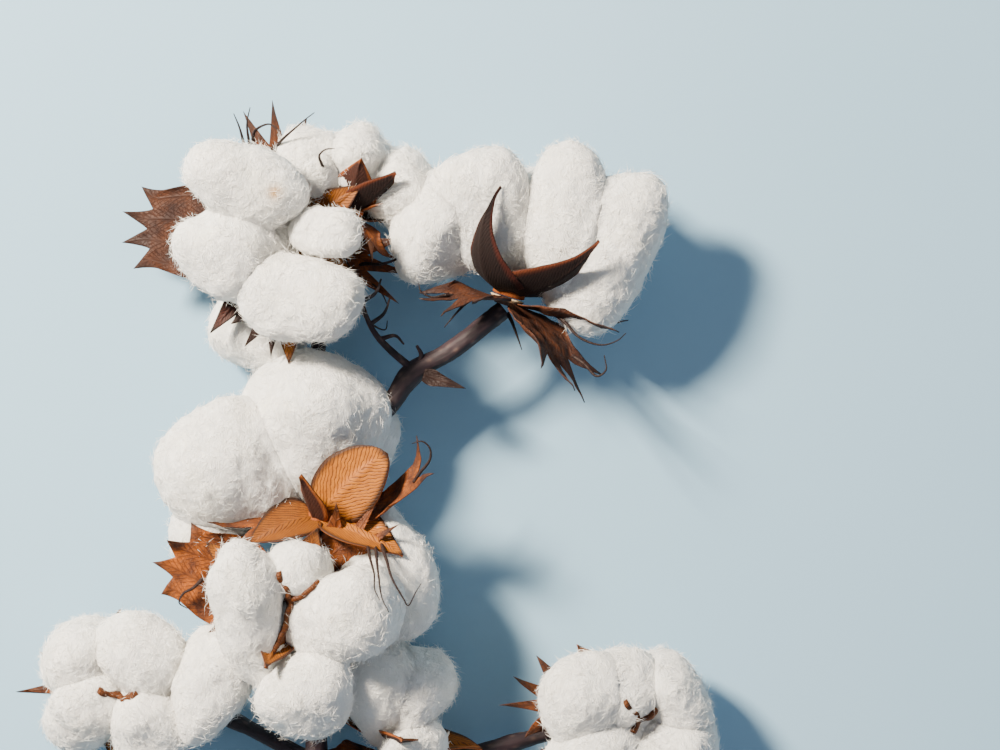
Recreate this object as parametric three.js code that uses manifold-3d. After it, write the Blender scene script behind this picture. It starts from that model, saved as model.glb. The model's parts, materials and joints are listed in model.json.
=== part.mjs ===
// The fruiting top of a cotton stem, cut and laid on its back, with eight open bolls.
// Lengths are millimetres. Shapes are drawn from the centre of the stem's cut end: X runs across
// the stem, Y up along it, and Z up from the surface it lies on. The last lines move the origin.
import * as THREE from 'three';
import { mergeVertices } from 'three/addons/utils/BufferGeometryUtils.js';
import Module from 'manifold-3d';

const wasm = await Module();
wasm.setup();

// Driving dimensions
const STEM_HEIGHT = 18;       // the stem's axis above the surface that the branch lies on
const GAP = 0.5;              // clearance that one piece is cut back from the next
const SMOOTH_THIN = 0.15;     // flat spots on a cut piece are merged within these distances
const SMOOTH_ROUND = 0.5;
const CARPEL_LENGTH = 37;
const CARPEL_WIDTH = 19;
const CARPEL_THICKNESS = 1.3;
const CARPEL_TIP = 0.4;       // half the width that a valve adds all along, and ends in
const CARPEL_CUP = 0.32;      // how deep a valve's boat is, as a share of its half width
const BRACT_LENGTH = 25;
const BRACT_WIDTH = 24;
const BRACT_THICKNESS = 0.9;
const BRACT_FOOT = 2.2;       // half the width of a bract where it leaves its collar
const BRACT_BELLY = 0.4;      // where a bract is widest, as a share of its length
const BRACT_CUP = 0.15;
const BRACT_RISE = 2;         // height of a bract's foot above the end of the stalk
const TOOTH_LENGTH = 15;
const TOOTH_WIDTH = 2.2;      // halfway along a tooth
const TOOTH_TIP = 0.6;
const TOOTH_CURL = 3;         // how far a tooth's tip curls out of its blade
const TOOTH_FAN = 0.9;        // radians that the outermost tooth leans out from the rib
const VALLEY = 0.18;          // depth of the edge between two teeth, as a share of their length
const SHOULDER = 0.3;         // how far a bract's edge falls away at its sides, as a share of its length
const COLLAR_HEIGHT = 3.2;    // the ring of calyx and bracts between a stalk and its bur
const DOME_HEIGHT = 4;        // the solid foot of a bur
const RIM = 2.4;              // how far collar and dome stand out past their stalk
const FOOT = COLLAR_HEIGHT + GAP;  // where the bur's foot starts, above the end of the stalk
const CARPEL_RISE = FOOT + 1.5;    // and where the midrib of a valve starts
const HEART = 10;             // where the lint starts, above the end of the stalk
const CORE_LENGTH = 12;       // the lump of lint that joins the locks of a boll
const CORE_WIDTH = 15;
const LINT_LUMP = 0.055;      // height of the soft swellings on a lock, as a share of its size
const LOCK_SWELL = 1.08;      // makes up for the flat facets of a lock
const LOCK_TAPER = 0.3;       // how much fatter a lock is at its free end
const RING_STEP = 7;          // length of a limb between two of its rings
const NODE_SWELL = 0.2;       // how much fatter a limb is at a node, as a share
const NODE_LENGTH = 5;        // and how far along the limb that reaches

const BARK = new THREE.MeshStandardMaterial({ color: 0x35232a, roughness: 0.8, metalness: 0 });
const HUSK = new THREE.MeshStandardMaterial({ color: 0x7b4526, roughness: 0.7, metalness: 0 });
const DRY_LEAF = new THREE.MeshStandardMaterial({ color: 0x8c4f26, roughness: 0.75, metalness: 0 });
const LINT = new THREE.MeshStandardMaterial({ color: 0xf3f2ee, roughness: 1, metalness: 0 });

const radians = THREE.MathUtils.degToRad;
const point = (list) => new THREE.Vector3(...list);

// A closed geometry as a solid that can be joined and cut.
function solid(geometry) {
  geometry.deleteAttribute('normal');
  geometry.deleteAttribute('uv');
  const merged = mergeVertices(geometry, 1e-4);
  return new wasm.Manifold(new wasm.Mesh({
    numProp: 3,
    vertProperties: new Float32Array(merged.attributes.position.array),
    triVerts: new Uint32Array(merged.index.array),
  }));
}

// A closed skin given by its corners and the corners of each face.
function shell(corners, faces) {
  const geometry = new THREE.BufferGeometry().setFromPoints(corners);
  geometry.setIndex(faces);
  return solid(geometry);
}

// A closed skin over a row of rings. Each ring runs anticlockwise about the way ahead.
function loft(rings) {
  const count = rings[0].length;
  const faces = [];
  for (let ring = 0; ring + 1 < rings.length; ring++) {
    for (let corner = 0; corner < count; corner++) {
      const a = ring * count + corner;
      const b = ring * count + (corner + 1) % count;
      faces.push(a, b, b + count, a, b + count, a + count);
    }
  }
  const last = (rings.length - 1) * count;
  for (let low = 0, high = count - 1; low + 1 < high; low++, high--) {
    faces.push(low, high, low + 1, last + low, last + low + 1, last + high);
    if (low + 1 < high - 1) {
      faces.push(low + 1, high, high - 1, last + low + 1, last + high - 1, last + high);
    }
  }
  return shell(rings.flat(), faces);
}

// A tapering limb through the given points, round, with flat ends and swollen nodes.
function limb({ path, from, to, sides = 6, step = RING_STEP, nodes = [] }, grow = 0) {
  const curve = new THREE.CatmullRomCurve3(path.map(point));
  const length = curve.getLength();
  const count = Math.max(1, Math.round(length / step));
  const frames = curve.computeFrenetFrames(count);
  const rings = [];
  for (let ring = 0; ring <= count; ring++) {
    const t = ring / count;
    const fromNode = (at) => ((t - at) * length) / NODE_LENGTH;
    const swell = nodes.reduce((sum, at) => sum + NODE_SWELL * Math.exp(-(fromNode(at) ** 2)), 1);
    const radius = THREE.MathUtils.lerp(from, to, t) * swell + grow;
    const centre = curve.getPointAt(t);
    if (ring === 0) centre.addScaledVector(frames.tangents[0], -grow);
    if (ring === count) centre.addScaledVector(frames.tangents[ring], grow);
    rings.push(Array.from({ length: sides }, (_, side) => {
      const angle = (2 * Math.PI * side) / sides;
      return centre.clone()
        .addScaledVector(frames.normals[ring], radius * Math.cos(angle))
        .addScaledVector(frames.binormals[ring], radius * Math.sin(angle));
    }));
  }
  return loft(rings);
}

// One lock of lint: an egg with its thin end in the bur and soft swellings where its seeds lie.
function lock({ root, tip, width, depth, taper = LOCK_TAPER, detail = 1 }, grow = 0) {
  const start = point(root);
  const along = point(tip).sub(start);
  const half = along.length() / 2;
  const centre = start.addScaledVector(along, 0.5);
  along.normalize();
  const across = new THREE.Vector3(0, 0, 1).cross(along);
  if (across.length() < 0.2) across.set(1, 0, 0);
  across.normalize();
  const deep = along.clone().cross(across);
  const egg = new THREE.IcosahedronGeometry(1, detail);
  const place = egg.attributes.position;
  for (let corner = 0; corner < place.count; corner++) {
    const [x, y, z] = [place.getX(corner), place.getY(corner), place.getZ(corner)];
    const wave = Math.sin(3.1 * x + tip[0]) + Math.sin(3.7 * y + tip[1]) + Math.sin(4.3 * z + tip[2]);
    const lump = 1 + LINT_LUMP * wave;
    const fat = LOCK_SWELL * (1 + taper * z) * lump;
    const spot = centre.clone()
      .addScaledVector(along, z * (half * lump + grow))
      .addScaledVector(across, x * ((width / 2) * fat + grow))
      .addScaledVector(deep, y * ((depth / 2) * fat + grow));
    place.setXYZ(corner, spot.x, spot.y, spot.z);
  }
  return solid(egg);
}

// The directions of a boll: its axis and the way out from it at an angle about that axis.
function outward(axis, spin) {
  const up = point(axis).normalize();
  const right = new THREE.Vector3(1, 0, 0);
  right.addScaledVector(up, -right.dot(up)).normalize();
  const side = up.clone().cross(right);
  const angle = radians(spin);
  return right.multiplyScalar(Math.cos(angle)).addScaledVector(side, Math.sin(angle));
}

// Where a blade's midrib is at a distance from its base, and which way it faces there. The rib
// leaves the boll at one lean from its axis and ends at another.
function ribAt({ base, axis, spin, lean, length, rise, inset }, distance) {
  const up = point(axis).normalize();
  const out = outward(axis, spin);
  const centre = point(base).addScaledVector(up, rise).addScaledVector(out, inset);
  const share = (at) => THREE.MathUtils.clamp(at / length, 0, 1);
  const heading = (at) => radians(THREE.MathUtils.lerp(lean[0], lean[1], share(at)));
  const ahead = (angle) => up.clone().multiplyScalar(Math.cos(angle)).addScaledVector(out, Math.sin(angle));
  const steps = Math.max(1, Math.ceil(Math.abs(distance) / 2));
  for (let step = 0; step < steps; step++) {
    centre.addScaledVector(ahead(heading(((step + 0.5) * distance) / steps)), distance / steps);
  }
  const angle = heading(distance);
  const inner = up.clone().multiplyScalar(Math.sin(angle)).addScaledVector(out, -Math.cos(angle));
  return { centre, ahead: ahead(angle), inner, across: inner.clone().cross(ahead(angle)) };
}

// The half width of a valve along its length, as a share of its greatest: broad near the foot and
// drawn out to a point.
const valveShape = (t) => 2.5 * Math.sqrt(t + 0.05) * (1 - t) ** 1.1;

// One valve of the dry bur: an ovate boat with a narrow foot and a drawn-out tip. The grown one,
// which cuts its neighbours, is a plain box-sectioned case round it.
function carpel(boll, { spin, lean = [35, 75], length = CARPEL_LENGTH, width = CARPEL_WIDTH }, grow = 0) {
  const rib = { ...boll, spin, lean, length, rise: CARPEL_RISE, inset: boll.neck };
  return loft([0, 0.3, 0.65, 1].map((t) => {
    const extra = t === 0 ? -grow : t === 1 ? grow : 0;
    const { centre, inner, across } = ribAt(rib, t * length + extra);
    const half = (width / 2) * valveShape(t) + CARPEL_TIP + grow;
    const spot = (v, lift) => centre.clone().addScaledVector(across, half * v).addScaledVector(inner, lift);
    const cup = CARPEL_CUP * half;
    const skin = CARPEL_THICKNESS / 2 + grow;
    if (grow > 0) return [spot(-1, -skin), spot(1, -skin), spot(1, cup + skin), spot(-1, cup + skin)];
    return [
      spot(-1, cup - skin), spot(0, -skin), spot(1, cup - skin),
      spot(1, cup + skin), spot(0, skin), spot(-1, cup + skin),
    ];
  }));
}

// The flat outline of a bract, from its foot up: a broad blade with long teeth fanned along its
// edge. The third number of a point is how far it curls up from the blade.
function bractOutline({ length, width, teeth, tooth, shoulder }, grow) {
  const foot = BRACT_FOOT + grow;
  const belly = BRACT_BELLY * length;
  const side = width / 2 + grow;
  const fan = (v) => ({
    root: new THREE.Vector3(0.4 * width * v, length * (1 - shoulder * v * v), 0),
    ahead: new THREE.Vector3(Math.sin(TOOTH_FAN * v), Math.cos(TOOTH_FAN * v), 0),
  });
  const valley = (v) => {
    const { root, ahead } = fan(v);
    return root.addScaledVector(ahead, 2.2 * grow).add(new THREE.Vector3(0, -VALLEY * tooth, 0));
  };
  const outline = [new THREE.Vector3(foot, -grow, 0), new THREE.Vector3(side, belly, 0), valley(1)];
  for (let count = 0; count < teeth; count++) {
    const v = 1 - (2 * count + 1) / teeth;
    const { root, ahead } = fan(v);
    const right = new THREE.Vector3(ahead.y, -ahead.x, 0);
    const reach = tooth * (1.1 - 0.35 * Math.abs(v));
    const turn = count % 2 ? TOOTH_CURL : -TOOTH_CURL / 2;
    const spot = (share, half, edge) => root.clone()
      .addScaledVector(ahead, share * reach + grow)
      .addScaledVector(right, edge * (half + grow))
      .setZ(turn * share * share);
    outline.push(spot(0.5, TOOTH_WIDTH / 2, 1), spot(1, TOOTH_TIP / 2, 1));
    outline.push(spot(1, TOOTH_TIP / 2, -1), spot(0.5, TOOTH_WIDTH / 2, -1));
    outline.push(valley(v - 1 / teeth));
  }
  outline.push(new THREE.Vector3(-side, belly, 0), new THREE.Vector3(-foot, -grow, 0));
  return outline;
}

// One dry bract: that outline as a thin plate, bent along its rib and cupped. It grows more in
// thickness than along its edge, because its faces cut straight across the bends.
function bract(boll, leaf, grow = 0) {
  const usual = { length: BRACT_LENGTH, width: BRACT_WIDTH, teeth: 4, tooth: TOOTH_LENGTH, shoulder: SHOULDER };
  const sizes = { ...usual, ...leaf };
  const rib = { ...boll, lean: [85, 100], ...sizes, rise: BRACT_RISE, inset: boll.neck };
  const plain = bractOutline(sizes, 0);
  const grown = bractOutline(sizes, grow);
  const face = (side) => plain.map(({ x: aside, y: distance, z: curl }, corner) => {
    const { centre, ahead, inner, across } = ribAt(rib, distance);
    const lift = (BRACT_CUP * aside * aside) / sizes.width + curl;
    return centre.addScaledVector(across, -grown[corner].x)
      .addScaledVector(ahead, grown[corner].y - distance)
      .addScaledVector(inner, lift + side * (BRACT_THICKNESS / 2 + 2 * grow));
  });
  const count = plain.length;
  const faces = [];
  for (const [a, b, c] of THREE.ShapeUtils.triangulateShape(plain, [])) {
    faces.push(a + count, b + count, c + count, c, b, a);
  }
  for (let corner = 0; corner < count; corner++) {
    const next = (corner + 1) % count;
    faces.push(corner, next, next + count, corner, next + count, corner + count);
  }
  return shell([...face(-1), ...face(1)], faces);
}

// The stem and its branches. Each path runs from its root to its tip.
const limbs = [
  {
    name: 'main_stem',
    path: [[0, 0, STEM_HEIGHT], [0, 30, STEM_HEIGHT], [0.6, 100, 18], [0, 160, 18], [3, 205, 17]],
    from: 3.9, to: 2.5, sides: 8, step: 10, nodes: [0.08, 0.13, 0.35, 0.48, 0.66],
  },
  {
    name: 'right_branch',
    path: [[1, 136, 18], [13, 146, 21], [25, 153, 25], [35, 166, 28], [48, 173.5, 30], [67.2, 188.6, 30]],
    from: 3.7, to: 3.3, sides: 8, nodes: [0.53],
    spurs: [{ path: [[36, 168, 29], [38, 172, 31], [36.5, 175.5, 33]], from: 1.4, to: 0.6 }],
  },
  {
    name: 'left_branch',
    path: [[0, 26, 18], [-20, 36, 14], [-42, 46, 8], [-58, 51.5, 5.5], [-65.5, 54, 9], [-66, 54, 13.5]],
    from: 2.9, to: 2.3,
  },
  {
    name: 'low_branch',
    path: [[0, 19, 18], [35, 24, 16], [71, 33, 13], [96, 38.5, 8], [108, 41.4, 8.5], [110, 41.6, 13.5]],
    from: 3.1, to: 2.5,
  },
  {
    name: 'stalk_a', path: [[2, 199, 17], [-4, 208, 12], [-7, 213, 14.5], [-6.9, 214, 21.5]],
    from: 2.4, to: 2.2,
  },
  { name: 'stalk_top', path: [[3, 203, 17], [7, 210, 23], [11.3, 218.5, 29.8]], from: 2.4, to: 2.2 },
  { name: 'stalk_b', path: [[0, 94, 18], [2.5, 100, 24], [2.4, 111.6, 35.4]], from: 2.5, to: 2.3 },
  { name: 'stalk_e', path: [[0, 71, 18], [-5, 76, 17], [-8, 82, 21], [-7.7, 83, 29.4]], from: 2.5, to: 2.3 },
  { name: 'stalk_h', path: [[0, 8, 18], [13, 12.5, 18.5], [25.9, 27.7, 19.9]], from: 2.5, to: 2.3 },
];

// The bolls. Each has the point where its bur sits on its stalk, the way it faces, its locks of
// lint from root to tip, the valves of its bur and its bracts.
const bolls = [
  {
    name: 'boll_a', base: [-7, 214, 22], axis: [-0.1, 0.05, 1], neck: 2.3,
    locks: [
      { root: [-3, 225, 42], tip: [-42, 238, 54], width: 29, depth: 29, taper: 0.05 },
      { root: [-8, 204, 38], tip: [-47, 210, 52], width: 29, depth: 30, taper: 0.05 },
      { root: [-26, 195, 40], tip: [18, 188, 54], width: 29, depth: 30, taper: 0.1 },
      { root: [-14, 216, 44], tip: [17, 214, 55], width: 16, depth: 18, taper: 0.15 },
      { root: [-11, 207, 26], tip: [-27, 166, 16], width: 29, depth: 27 },
    ],
    carpels: [
      { spin: 32, lean: [55, 75], length: 32, width: 17 }, { spin: 125, lean: [75, 95] },
      { spin: 185, lean: [80, 100] },
      { spin: 231, lean: [85, 96], length: 41, width: 15 }, { spin: 315, lean: [70, 90] },
    ],
    bracts: [
      { spin: 176, lean: [95, 86], length: 50, width: 32, tooth: 9, teeth: 5, shoulder: 0.12 },
      { spin: 106, lean: [95, 88], length: 35, width: 30, tooth: 13 },
      { spin: 335, lean: [92, 84], length: 29, width: 26, tooth: 15 },
      { spin: 256, lean: [86, 82], length: 33, width: 24, tooth: 8 },
    ],
  },
  {
    name: 'boll_top', base: [11.5, 219, 30], axis: [0.3, 0.9, 0.15], neck: 2.3,
    locks: [
      { root: [9, 226, 28], tip: [-6, 252, 32], width: 19, depth: 20 },
      { root: [13, 226, 28], tip: [15, 254, 32], width: 20, depth: 22 },
      { root: [6, 226, 30], tip: [-1, 240, 42], width: 12, depth: 12 },
      { root: [17, 226, 26], tip: [42, 236, 30], width: 24, depth: 25 },
      { root: [12, 226, 22], tip: [20, 246, 4], width: 32, depth: 26 },
    ],
    carpels: [
      { spin: 262, lean: [42, 12], length: 22, width: 16 }, { spin: 310, lean: [48, 30], length: 24, width: 16 },
      { spin: 30, lean: [55, 80], length: 30 }, { spin: 150, lean: [60, 80], length: 30 },
    ],
    bracts: [
      { spin: 60, lean: [75, 100], length: 20, width: 18, tooth: 12, teeth: 2 },
      { spin: 330, lean: [110, 130], length: 14, width: 14, tooth: 8, teeth: 2 },
    ],
  },
  {
    name: 'boll_d', base: [67.5, 189.5, 30], axis: [0.3, 0.95, 0.05], neck: 3.4,
    locks: [
      { root: [86, 190, 27], tip: [90, 245, 34], width: 34, depth: 32, taper: 0.15 },
      { root: [90, 183, 28], tip: [117, 234, 36], width: 30, depth: 32, taper: 0 },
      { root: [68, 200, 30], tip: [55, 245, 36], width: 30, depth: 30 },
      { root: [60, 210, 28], tip: [28, 222, 32], width: 37, depth: 32, taper: 0.1 },
      { root: [74, 198, 22], tip: [82, 236, 4], width: 50, depth: 30 },
    ],
    carpels: [
      { spin: 212, lean: [75, -20], length: 44, width: 19 }, { spin: 312, lean: [70, 35], length: 42, width: 19 },
      { spin: 175, lean: [60, 85] }, { spin: 20, lean: [70, 95] }, { spin: 95, lean: [50, 70] },
    ],
    bracts: [
      { spin: 225, lean: [85, 120], length: 22, width: 26, tooth: 12 },
      { spin: 324, lean: [108, 130], length: 32, width: 31, tooth: 14 },
      { spin: 350, lean: [88, 84], length: 30, width: 18, tooth: 14, teeth: 2 },
    ],
  },
  {
    name: 'boll_e', base: [-7.7, 83, 30], axis: [0, 0, 1], neck: 2.4,
    core: { root: [-7.7, 76, 40], tip: [-7.7, 76, 46] },
    locks: [
      { root: [-18, 62, 42], tip: [-24, 107, 62], width: 25, depth: 29, taper: 0 },
      { root: [-5, 90, 40], tip: [-2, 104, 64], width: 18, depth: 18 },
      { root: [-7, 76, 40], tip: [31, 87, 62], width: 31, depth: 33, taper: 0.1 },
      { root: [-4, 61, 34], tip: [1, 50, 62], width: 35, depth: 28, taper: 0.1 },
      { root: [-28, 78, 32], tip: [-43, 38, 40], width: 28, depth: 32, taper: 0 },
    ],
    carpels: [
      { spin: 70, lean: [45, 60] }, { spin: 140, lean: [60, 85] }, { spin: 205, lean: [70, 90] },
      { spin: 250, lean: [40, 12], length: 36, width: 15 }, { spin: 330, lean: [75, 95] },
    ],
    bracts: [
      { spin: 155, lean: [80, 70], length: 40, width: 28, tooth: 9, shoulder: 0.2 },
      { spin: 45, lean: [58, 80], length: 37, width: 26, tooth: 14 },
    ],
  },
  {
    name: 'boll_b', base: [2.5, 112, 36], axis: [0.05, 0.75, 0.65], neck: 2.4,
    core: { root: [2, 124, 30], tip: [2, 138, 30] },
    locks: [
      { root: [1, 120, 25], tip: [1, 172, 31], width: 49, depth: 38, taper: 0.15 },
      { root: [-6, 118, 28], tip: [-50, 146, 38], width: 42, depth: 38, taper: 0.15 },
      { root: [-20, 114, 26], tip: [-50, 108, 30], width: 22, depth: 24 },
      { root: [18, 120, 28], tip: [31, 68, 32], width: 35, depth: 34, taper: 0.05 },
      { root: [6, 124, 24], tip: [14, 158, 10], width: 36, depth: 26 },
    ],
    carpels: [
      { spin: 36, lean: [50, 56], length: 36, width: 29 }, { spin: 225, lean: [15, 15], length: 26, width: 12 },
      { spin: 208, lean: [85, 100], length: 29 }, { spin: 333, lean: [88, 104], length: 31 },
    ],
    bracts: [
      { spin: 5, lean: [85, 25], length: 40, width: 12, tooth: 15, teeth: 2 },
      { spin: 190, lean: [80, 90], length: 24, width: 20, tooth: 12, teeth: 3 },
    ],
  },
  {
    name: 'boll_f', base: [-66, 54, 14], axis: [-0.4, 0, 0.9], neck: 2.4,
    locks: [
      { tip: [-93, 74, 26], width: 28, depth: 34 },
      { tip: [-52, 77, 46], width: 29, depth: 28 },
      { tip: [-92, 36, 22], width: 26, depth: 34 },
      { tip: [-50, 34, 44], width: 26, depth: 27 },
      { tip: [-85, 46, 46], width: 21, depth: 22 },
    ],
    carpels: [
      { spin: 85, lean: [65, 80], length: 27 }, { spin: 178, lean: [75, 95], length: 31 },
      { spin: 275, lean: [65, 80], length: 27 }, { spin: 0, lean: [70, 85], length: 29 },
    ],
    bracts: [
      { spin: 185, lean: [100, 92], length: 30, teeth: 3 },
      { spin: 320, lean: [100, 96], length: 24, width: 20, teeth: 2 },
    ],
  },
  {
    name: 'boll_g', base: [110, 41.6, 14], axis: [0.35, 0, 0.94], neck: 2.6,
    locks: [
      { tip: [84, 58, 44], width: 30, depth: 28 },
      { tip: [106, 66, 40], width: 26, depth: 27 },
      { tip: [137, 58, 26], width: 26, depth: 36 },
      { tip: [140, 28, 24], width: 26, depth: 36 },
      { tip: [90, 22, 42], width: 29, depth: 28 },
      { tip: [118, 14, 40], width: 25, depth: 24 },
    ],
    carpels: [
      { spin: 15, lean: [30, 15], length: 27 }, { spin: 130, lean: [65, 80] },
      { spin: 240, lean: [65, 80] }, { spin: 330, lean: [75, 90] },
    ],
    bracts: [
      { spin: 165, lean: [100, 78], length: 34, tooth: 14 },
      { spin: 215, lean: [100, 92], length: 28, width: 20, teeth: 3 },
    ],
  },
  {
    name: 'boll_h', base: [26, 28, 20], axis: [0.25, 0.85, 0.3], neck: 2.4,
    locks: [
      { root: [26, 34, 24], tip: [20, 74, 32], width: 31, depth: 34 },
      { root: [28, 34, 24], tip: [40, 66, 30], width: 26, depth: 30 },
      { root: [28, 34, 26], tip: [40, 28, 38], width: 25, depth: 26 },
      { root: [28, 40, 18], tip: [32, 66, 6], width: 34, depth: 24 },
    ],
    carpels: [
      { spin: 270, lean: [50, 60], length: 30 }, { spin: 180, lean: [65, 80], length: 30 },
      { spin: 0, lean: [65, 85], length: 30 },
    ],
    bracts: [{ spin: 230, lean: [85, 100], teeth: 3 }, { spin: 20, lean: [85, 100], width: 20, teeth: 2 }],
  },
];

// A round disc on a boll's axis between two heights above the end of the stalk.
function disc(boll, low, high, lowRadius, highRadius, grow) {
  const up = point(boll.axis).normalize();
  const ends = [low, high].map((rise) => point(boll.base).addScaledVector(up, rise).toArray());
  return limb({ path: ends, from: lowRadius, to: highRadius, sides: 8, step: high - low }, grow);
}

const spikes = (list, grow) => list.map((spur) => limb({ sides: 3, step: 4, ...spur }, grow));

// A branch with the stubs that stand on it.
const wholeLimb = (spec, grow) => wasm.Manifold.union([limb(spec, grow), ...spikes(spec.spurs ?? [], grow)]);

// The dry bur: a solid foot with its valves.
function bur(boll, grow) {
  const dome = disc(boll, FOOT, FOOT + DOME_HEIGHT, boll.neck + RIM, boll.neck, grow);
  return wasm.Manifold.union([dome, ...boll.carpels.map((valve) => carpel(boll, valve, grow))]);
}

// The collar that is left of the flower's calyx, with the bracts that grow from it.
function bractWhorl(boll, grow) {
  const collar = disc(boll, GAP, FOOT - GAP, boll.neck + 1, boll.neck + RIM, grow);
  return wasm.Manifold.union([collar, ...boll.bracts.map((leaf) => bract(boll, leaf, grow))]);
}

// The lint: all locks of one boll, joined at its heart.
function lint(boll, grow) {
  const up = point(boll.axis).normalize();
  const heart = (rise) => point(boll.base).addScaledVector(up, rise).toArray();
  const core = {
    root: heart(HEART), tip: heart(HEART + CORE_LENGTH),
    width: CORE_WIDTH, depth: CORE_WIDTH, taper: 0, detail: 0, ...boll.core,
  };
  const locks = boll.locks.map((part) => ({ root: heart(HEART), ...part }));
  return wasm.Manifold.union([core, ...locks].map((part) => lock(part, grow)));
}

// The withered shoot in the fork of the right branch, with its curled teeth.
const witheredShoot = (grow) => wasm.Manifold.union(spikes([
  { path: [[34, 168, 29], [27, 174, 31], [21, 181, 33], [17, 191, 34], [16, 198, 35]], from: 1.5, to: 0.7 },
  { path: [[20, 183, 33], [25, 187, 34], [27, 192, 36]], from: 1, to: 0.4 },
  { path: [[17, 191, 34], [22, 194, 36], [24, 199, 35]], from: 1, to: 0.4 },
  { path: [[24, 178, 32], [29, 179, 34], [32, 176, 36]], from: 1, to: 0.4 },
], grow));

// The small dead leaf under the same fork.
const forkLeaf = { base: [36.5, 166, 30], axis: [0, 0, 1], neck: 2.4, spin: -18, lean: [90, 75] };
const deadLeaf = (grow) => bract(forkLeaf, { teeth: 1, tooth: 5, length: 10, width: 6 }, grow);

const surface = solid(new THREE.BoxGeometry(1000, 1000, 100).translate(0, 0, -50));
const touches = (one, other) => {
  const [a, b] = [one.boundingBox(), other.boundingBox()];
  return [0, 1, 2].every((side) => a.min[side] < b.max[side] && b.min[side] < a.max[side]);
};

// Each piece gives way to those placed before it, and only its main body is kept.
const plant = new THREE.Group();
const placed = [];
function place(name, make, material, smoothing = SMOOTH_THIN) {
  let shape = make(0).subtract(surface);
  for (const fat of placed) {
    if (touches(shape, fat)) shape = shape.subtract(fat);
  }
  const bodies = shape.simplify(smoothing).decompose();
  bodies.sort((one, other) => other.volume() - one.volume());
  const mesh = bodies[0].getMesh();
  const geometry = new THREE.BufferGeometry();
  geometry.setAttribute('position', new THREE.BufferAttribute(mesh.vertProperties, 3));
  geometry.setIndex(new THREE.BufferAttribute(mesh.triVerts, 1));
  geometry.computeVertexNormals();
  const piece = new THREE.Mesh(geometry, material);
  piece.name = name;
  plant.add(piece);
  placed.push(make(GAP));
}

for (const spec of limbs) place(spec.name, (grow) => wholeLimb(spec, grow), BARK, SMOOTH_ROUND);
place('withered_shoot', witheredShoot, HUSK);
place('dead_leaf', deadLeaf, DRY_LEAF);
for (const boll of bolls) place(`${boll.name}_bur`, (grow) => bur(boll, grow), HUSK);
for (const boll of bolls) place(`${boll.name}_bracts`, (grow) => bractWhorl(boll, grow), DRY_LEAF);
for (const boll of bolls) place(`${boll.name}_lint`, (grow) => lint(boll, grow), LINT, SMOOTH_ROUND);

// The origin goes to the middle of the underside.
const bounds = new THREE.Box3().setFromObject(plant);
const middle = bounds.getCenter(new THREE.Vector3());
plant.position.set(-middle.x, -middle.y, -bounds.min.z);

const part = new THREE.Group();
part.add(plant);
export default part;
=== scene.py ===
import json
import math

import bmesh
import bpy
import numpy as np
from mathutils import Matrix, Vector, noise


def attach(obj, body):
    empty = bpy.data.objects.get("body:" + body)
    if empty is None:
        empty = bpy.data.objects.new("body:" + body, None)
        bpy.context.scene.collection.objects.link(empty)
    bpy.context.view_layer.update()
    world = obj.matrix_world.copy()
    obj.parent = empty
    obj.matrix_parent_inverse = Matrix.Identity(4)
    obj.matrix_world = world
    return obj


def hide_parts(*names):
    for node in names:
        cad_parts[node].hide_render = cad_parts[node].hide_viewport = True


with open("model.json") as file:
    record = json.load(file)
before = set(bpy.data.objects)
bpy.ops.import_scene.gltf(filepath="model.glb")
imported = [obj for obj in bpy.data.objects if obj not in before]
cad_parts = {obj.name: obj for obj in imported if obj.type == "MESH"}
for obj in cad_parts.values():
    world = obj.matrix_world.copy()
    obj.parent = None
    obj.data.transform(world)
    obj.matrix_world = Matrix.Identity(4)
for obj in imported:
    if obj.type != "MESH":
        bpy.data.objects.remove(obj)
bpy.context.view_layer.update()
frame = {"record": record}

# Shapes are drawn in millimetres from the centre of the stem's cut end: X across the stem, Y up
# along it, Z up from the floor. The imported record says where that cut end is.
MM = 0.001
STEM_HEIGHT = 18
stem_cut = next(mount for mount in frame["record"]["mounts"] if mount["name"] == "stem_cut")
drawing_origin = np.array(stem_cut["pos_m"]) - np.array([0, 0, STEM_HEIGHT * MM])


# The stem and its branches: woody, dry and dark. Each is one smooth tapering line with a swelling
# at every node, where a leaf once stood, and stands 0.5 mm clear of the next in the model.
LIMBS = {
    "main_stem": dict(
        stops=[(0, 0, 18), (0, 30, 18), (0.6, 100, 18), (0, 160, 18), (3, 205, 17)],
        start=3.9, end=2.5, nodes=(0.08, 0.13, 0.35, 0.48, 0.66),
    ),
    "right_branch": dict(
        stops=[(1, 136, 18), (13, 146, 21), (25, 153, 25), (35, 166, 28), (48, 173.5, 30), (67.2, 188.6, 30)],
        start=3.7, end=3.3, nodes=(0.53,),
    ),
    "left_branch": dict(
        stops=[(0, 26, 18), (-20, 36, 14), (-42, 46, 8), (-58, 51.5, 5.5), (-65.5, 54, 9), (-66, 54, 13.5)],
        start=2.9, end=2.3, nodes=(0.45,),
    ),
    "low_branch": dict(
        stops=[(0, 19, 18), (35, 24, 16), (71, 33, 13), (96, 38.5, 8), (108, 41.4, 8.5), (110, 41.6, 13.5)],
        start=3.1, end=2.5, nodes=(0.3, 0.62),
    ),
    "stalk_a": dict(
        stops=[(2, 199, 17), (-4, 208, 12), (-7, 213, 14.5), (-6.9, 214, 21.5)], start=2.4, end=2.2,
    ),
    "stalk_top": dict(stops=[(3, 203, 17), (7, 210, 23), (11.3, 218.5, 29.8)], start=2.4, end=2.2),
    "stalk_b": dict(stops=[(0, 94, 18), (2.5, 100, 24), (2.4, 111.6, 35.4)], start=2.5, end=2.3),
    "stalk_e": dict(stops=[(0, 71, 18), (-5, 76, 17), (-8, 82, 21), (-7.7, 83, 29.4)], start=2.5, end=2.3),
    "stalk_h": dict(stops=[(0, 8, 18), (13, 12.5, 18.5), (25.9, 27.7, 19.9)], start=2.5, end=2.3),
}
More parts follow.
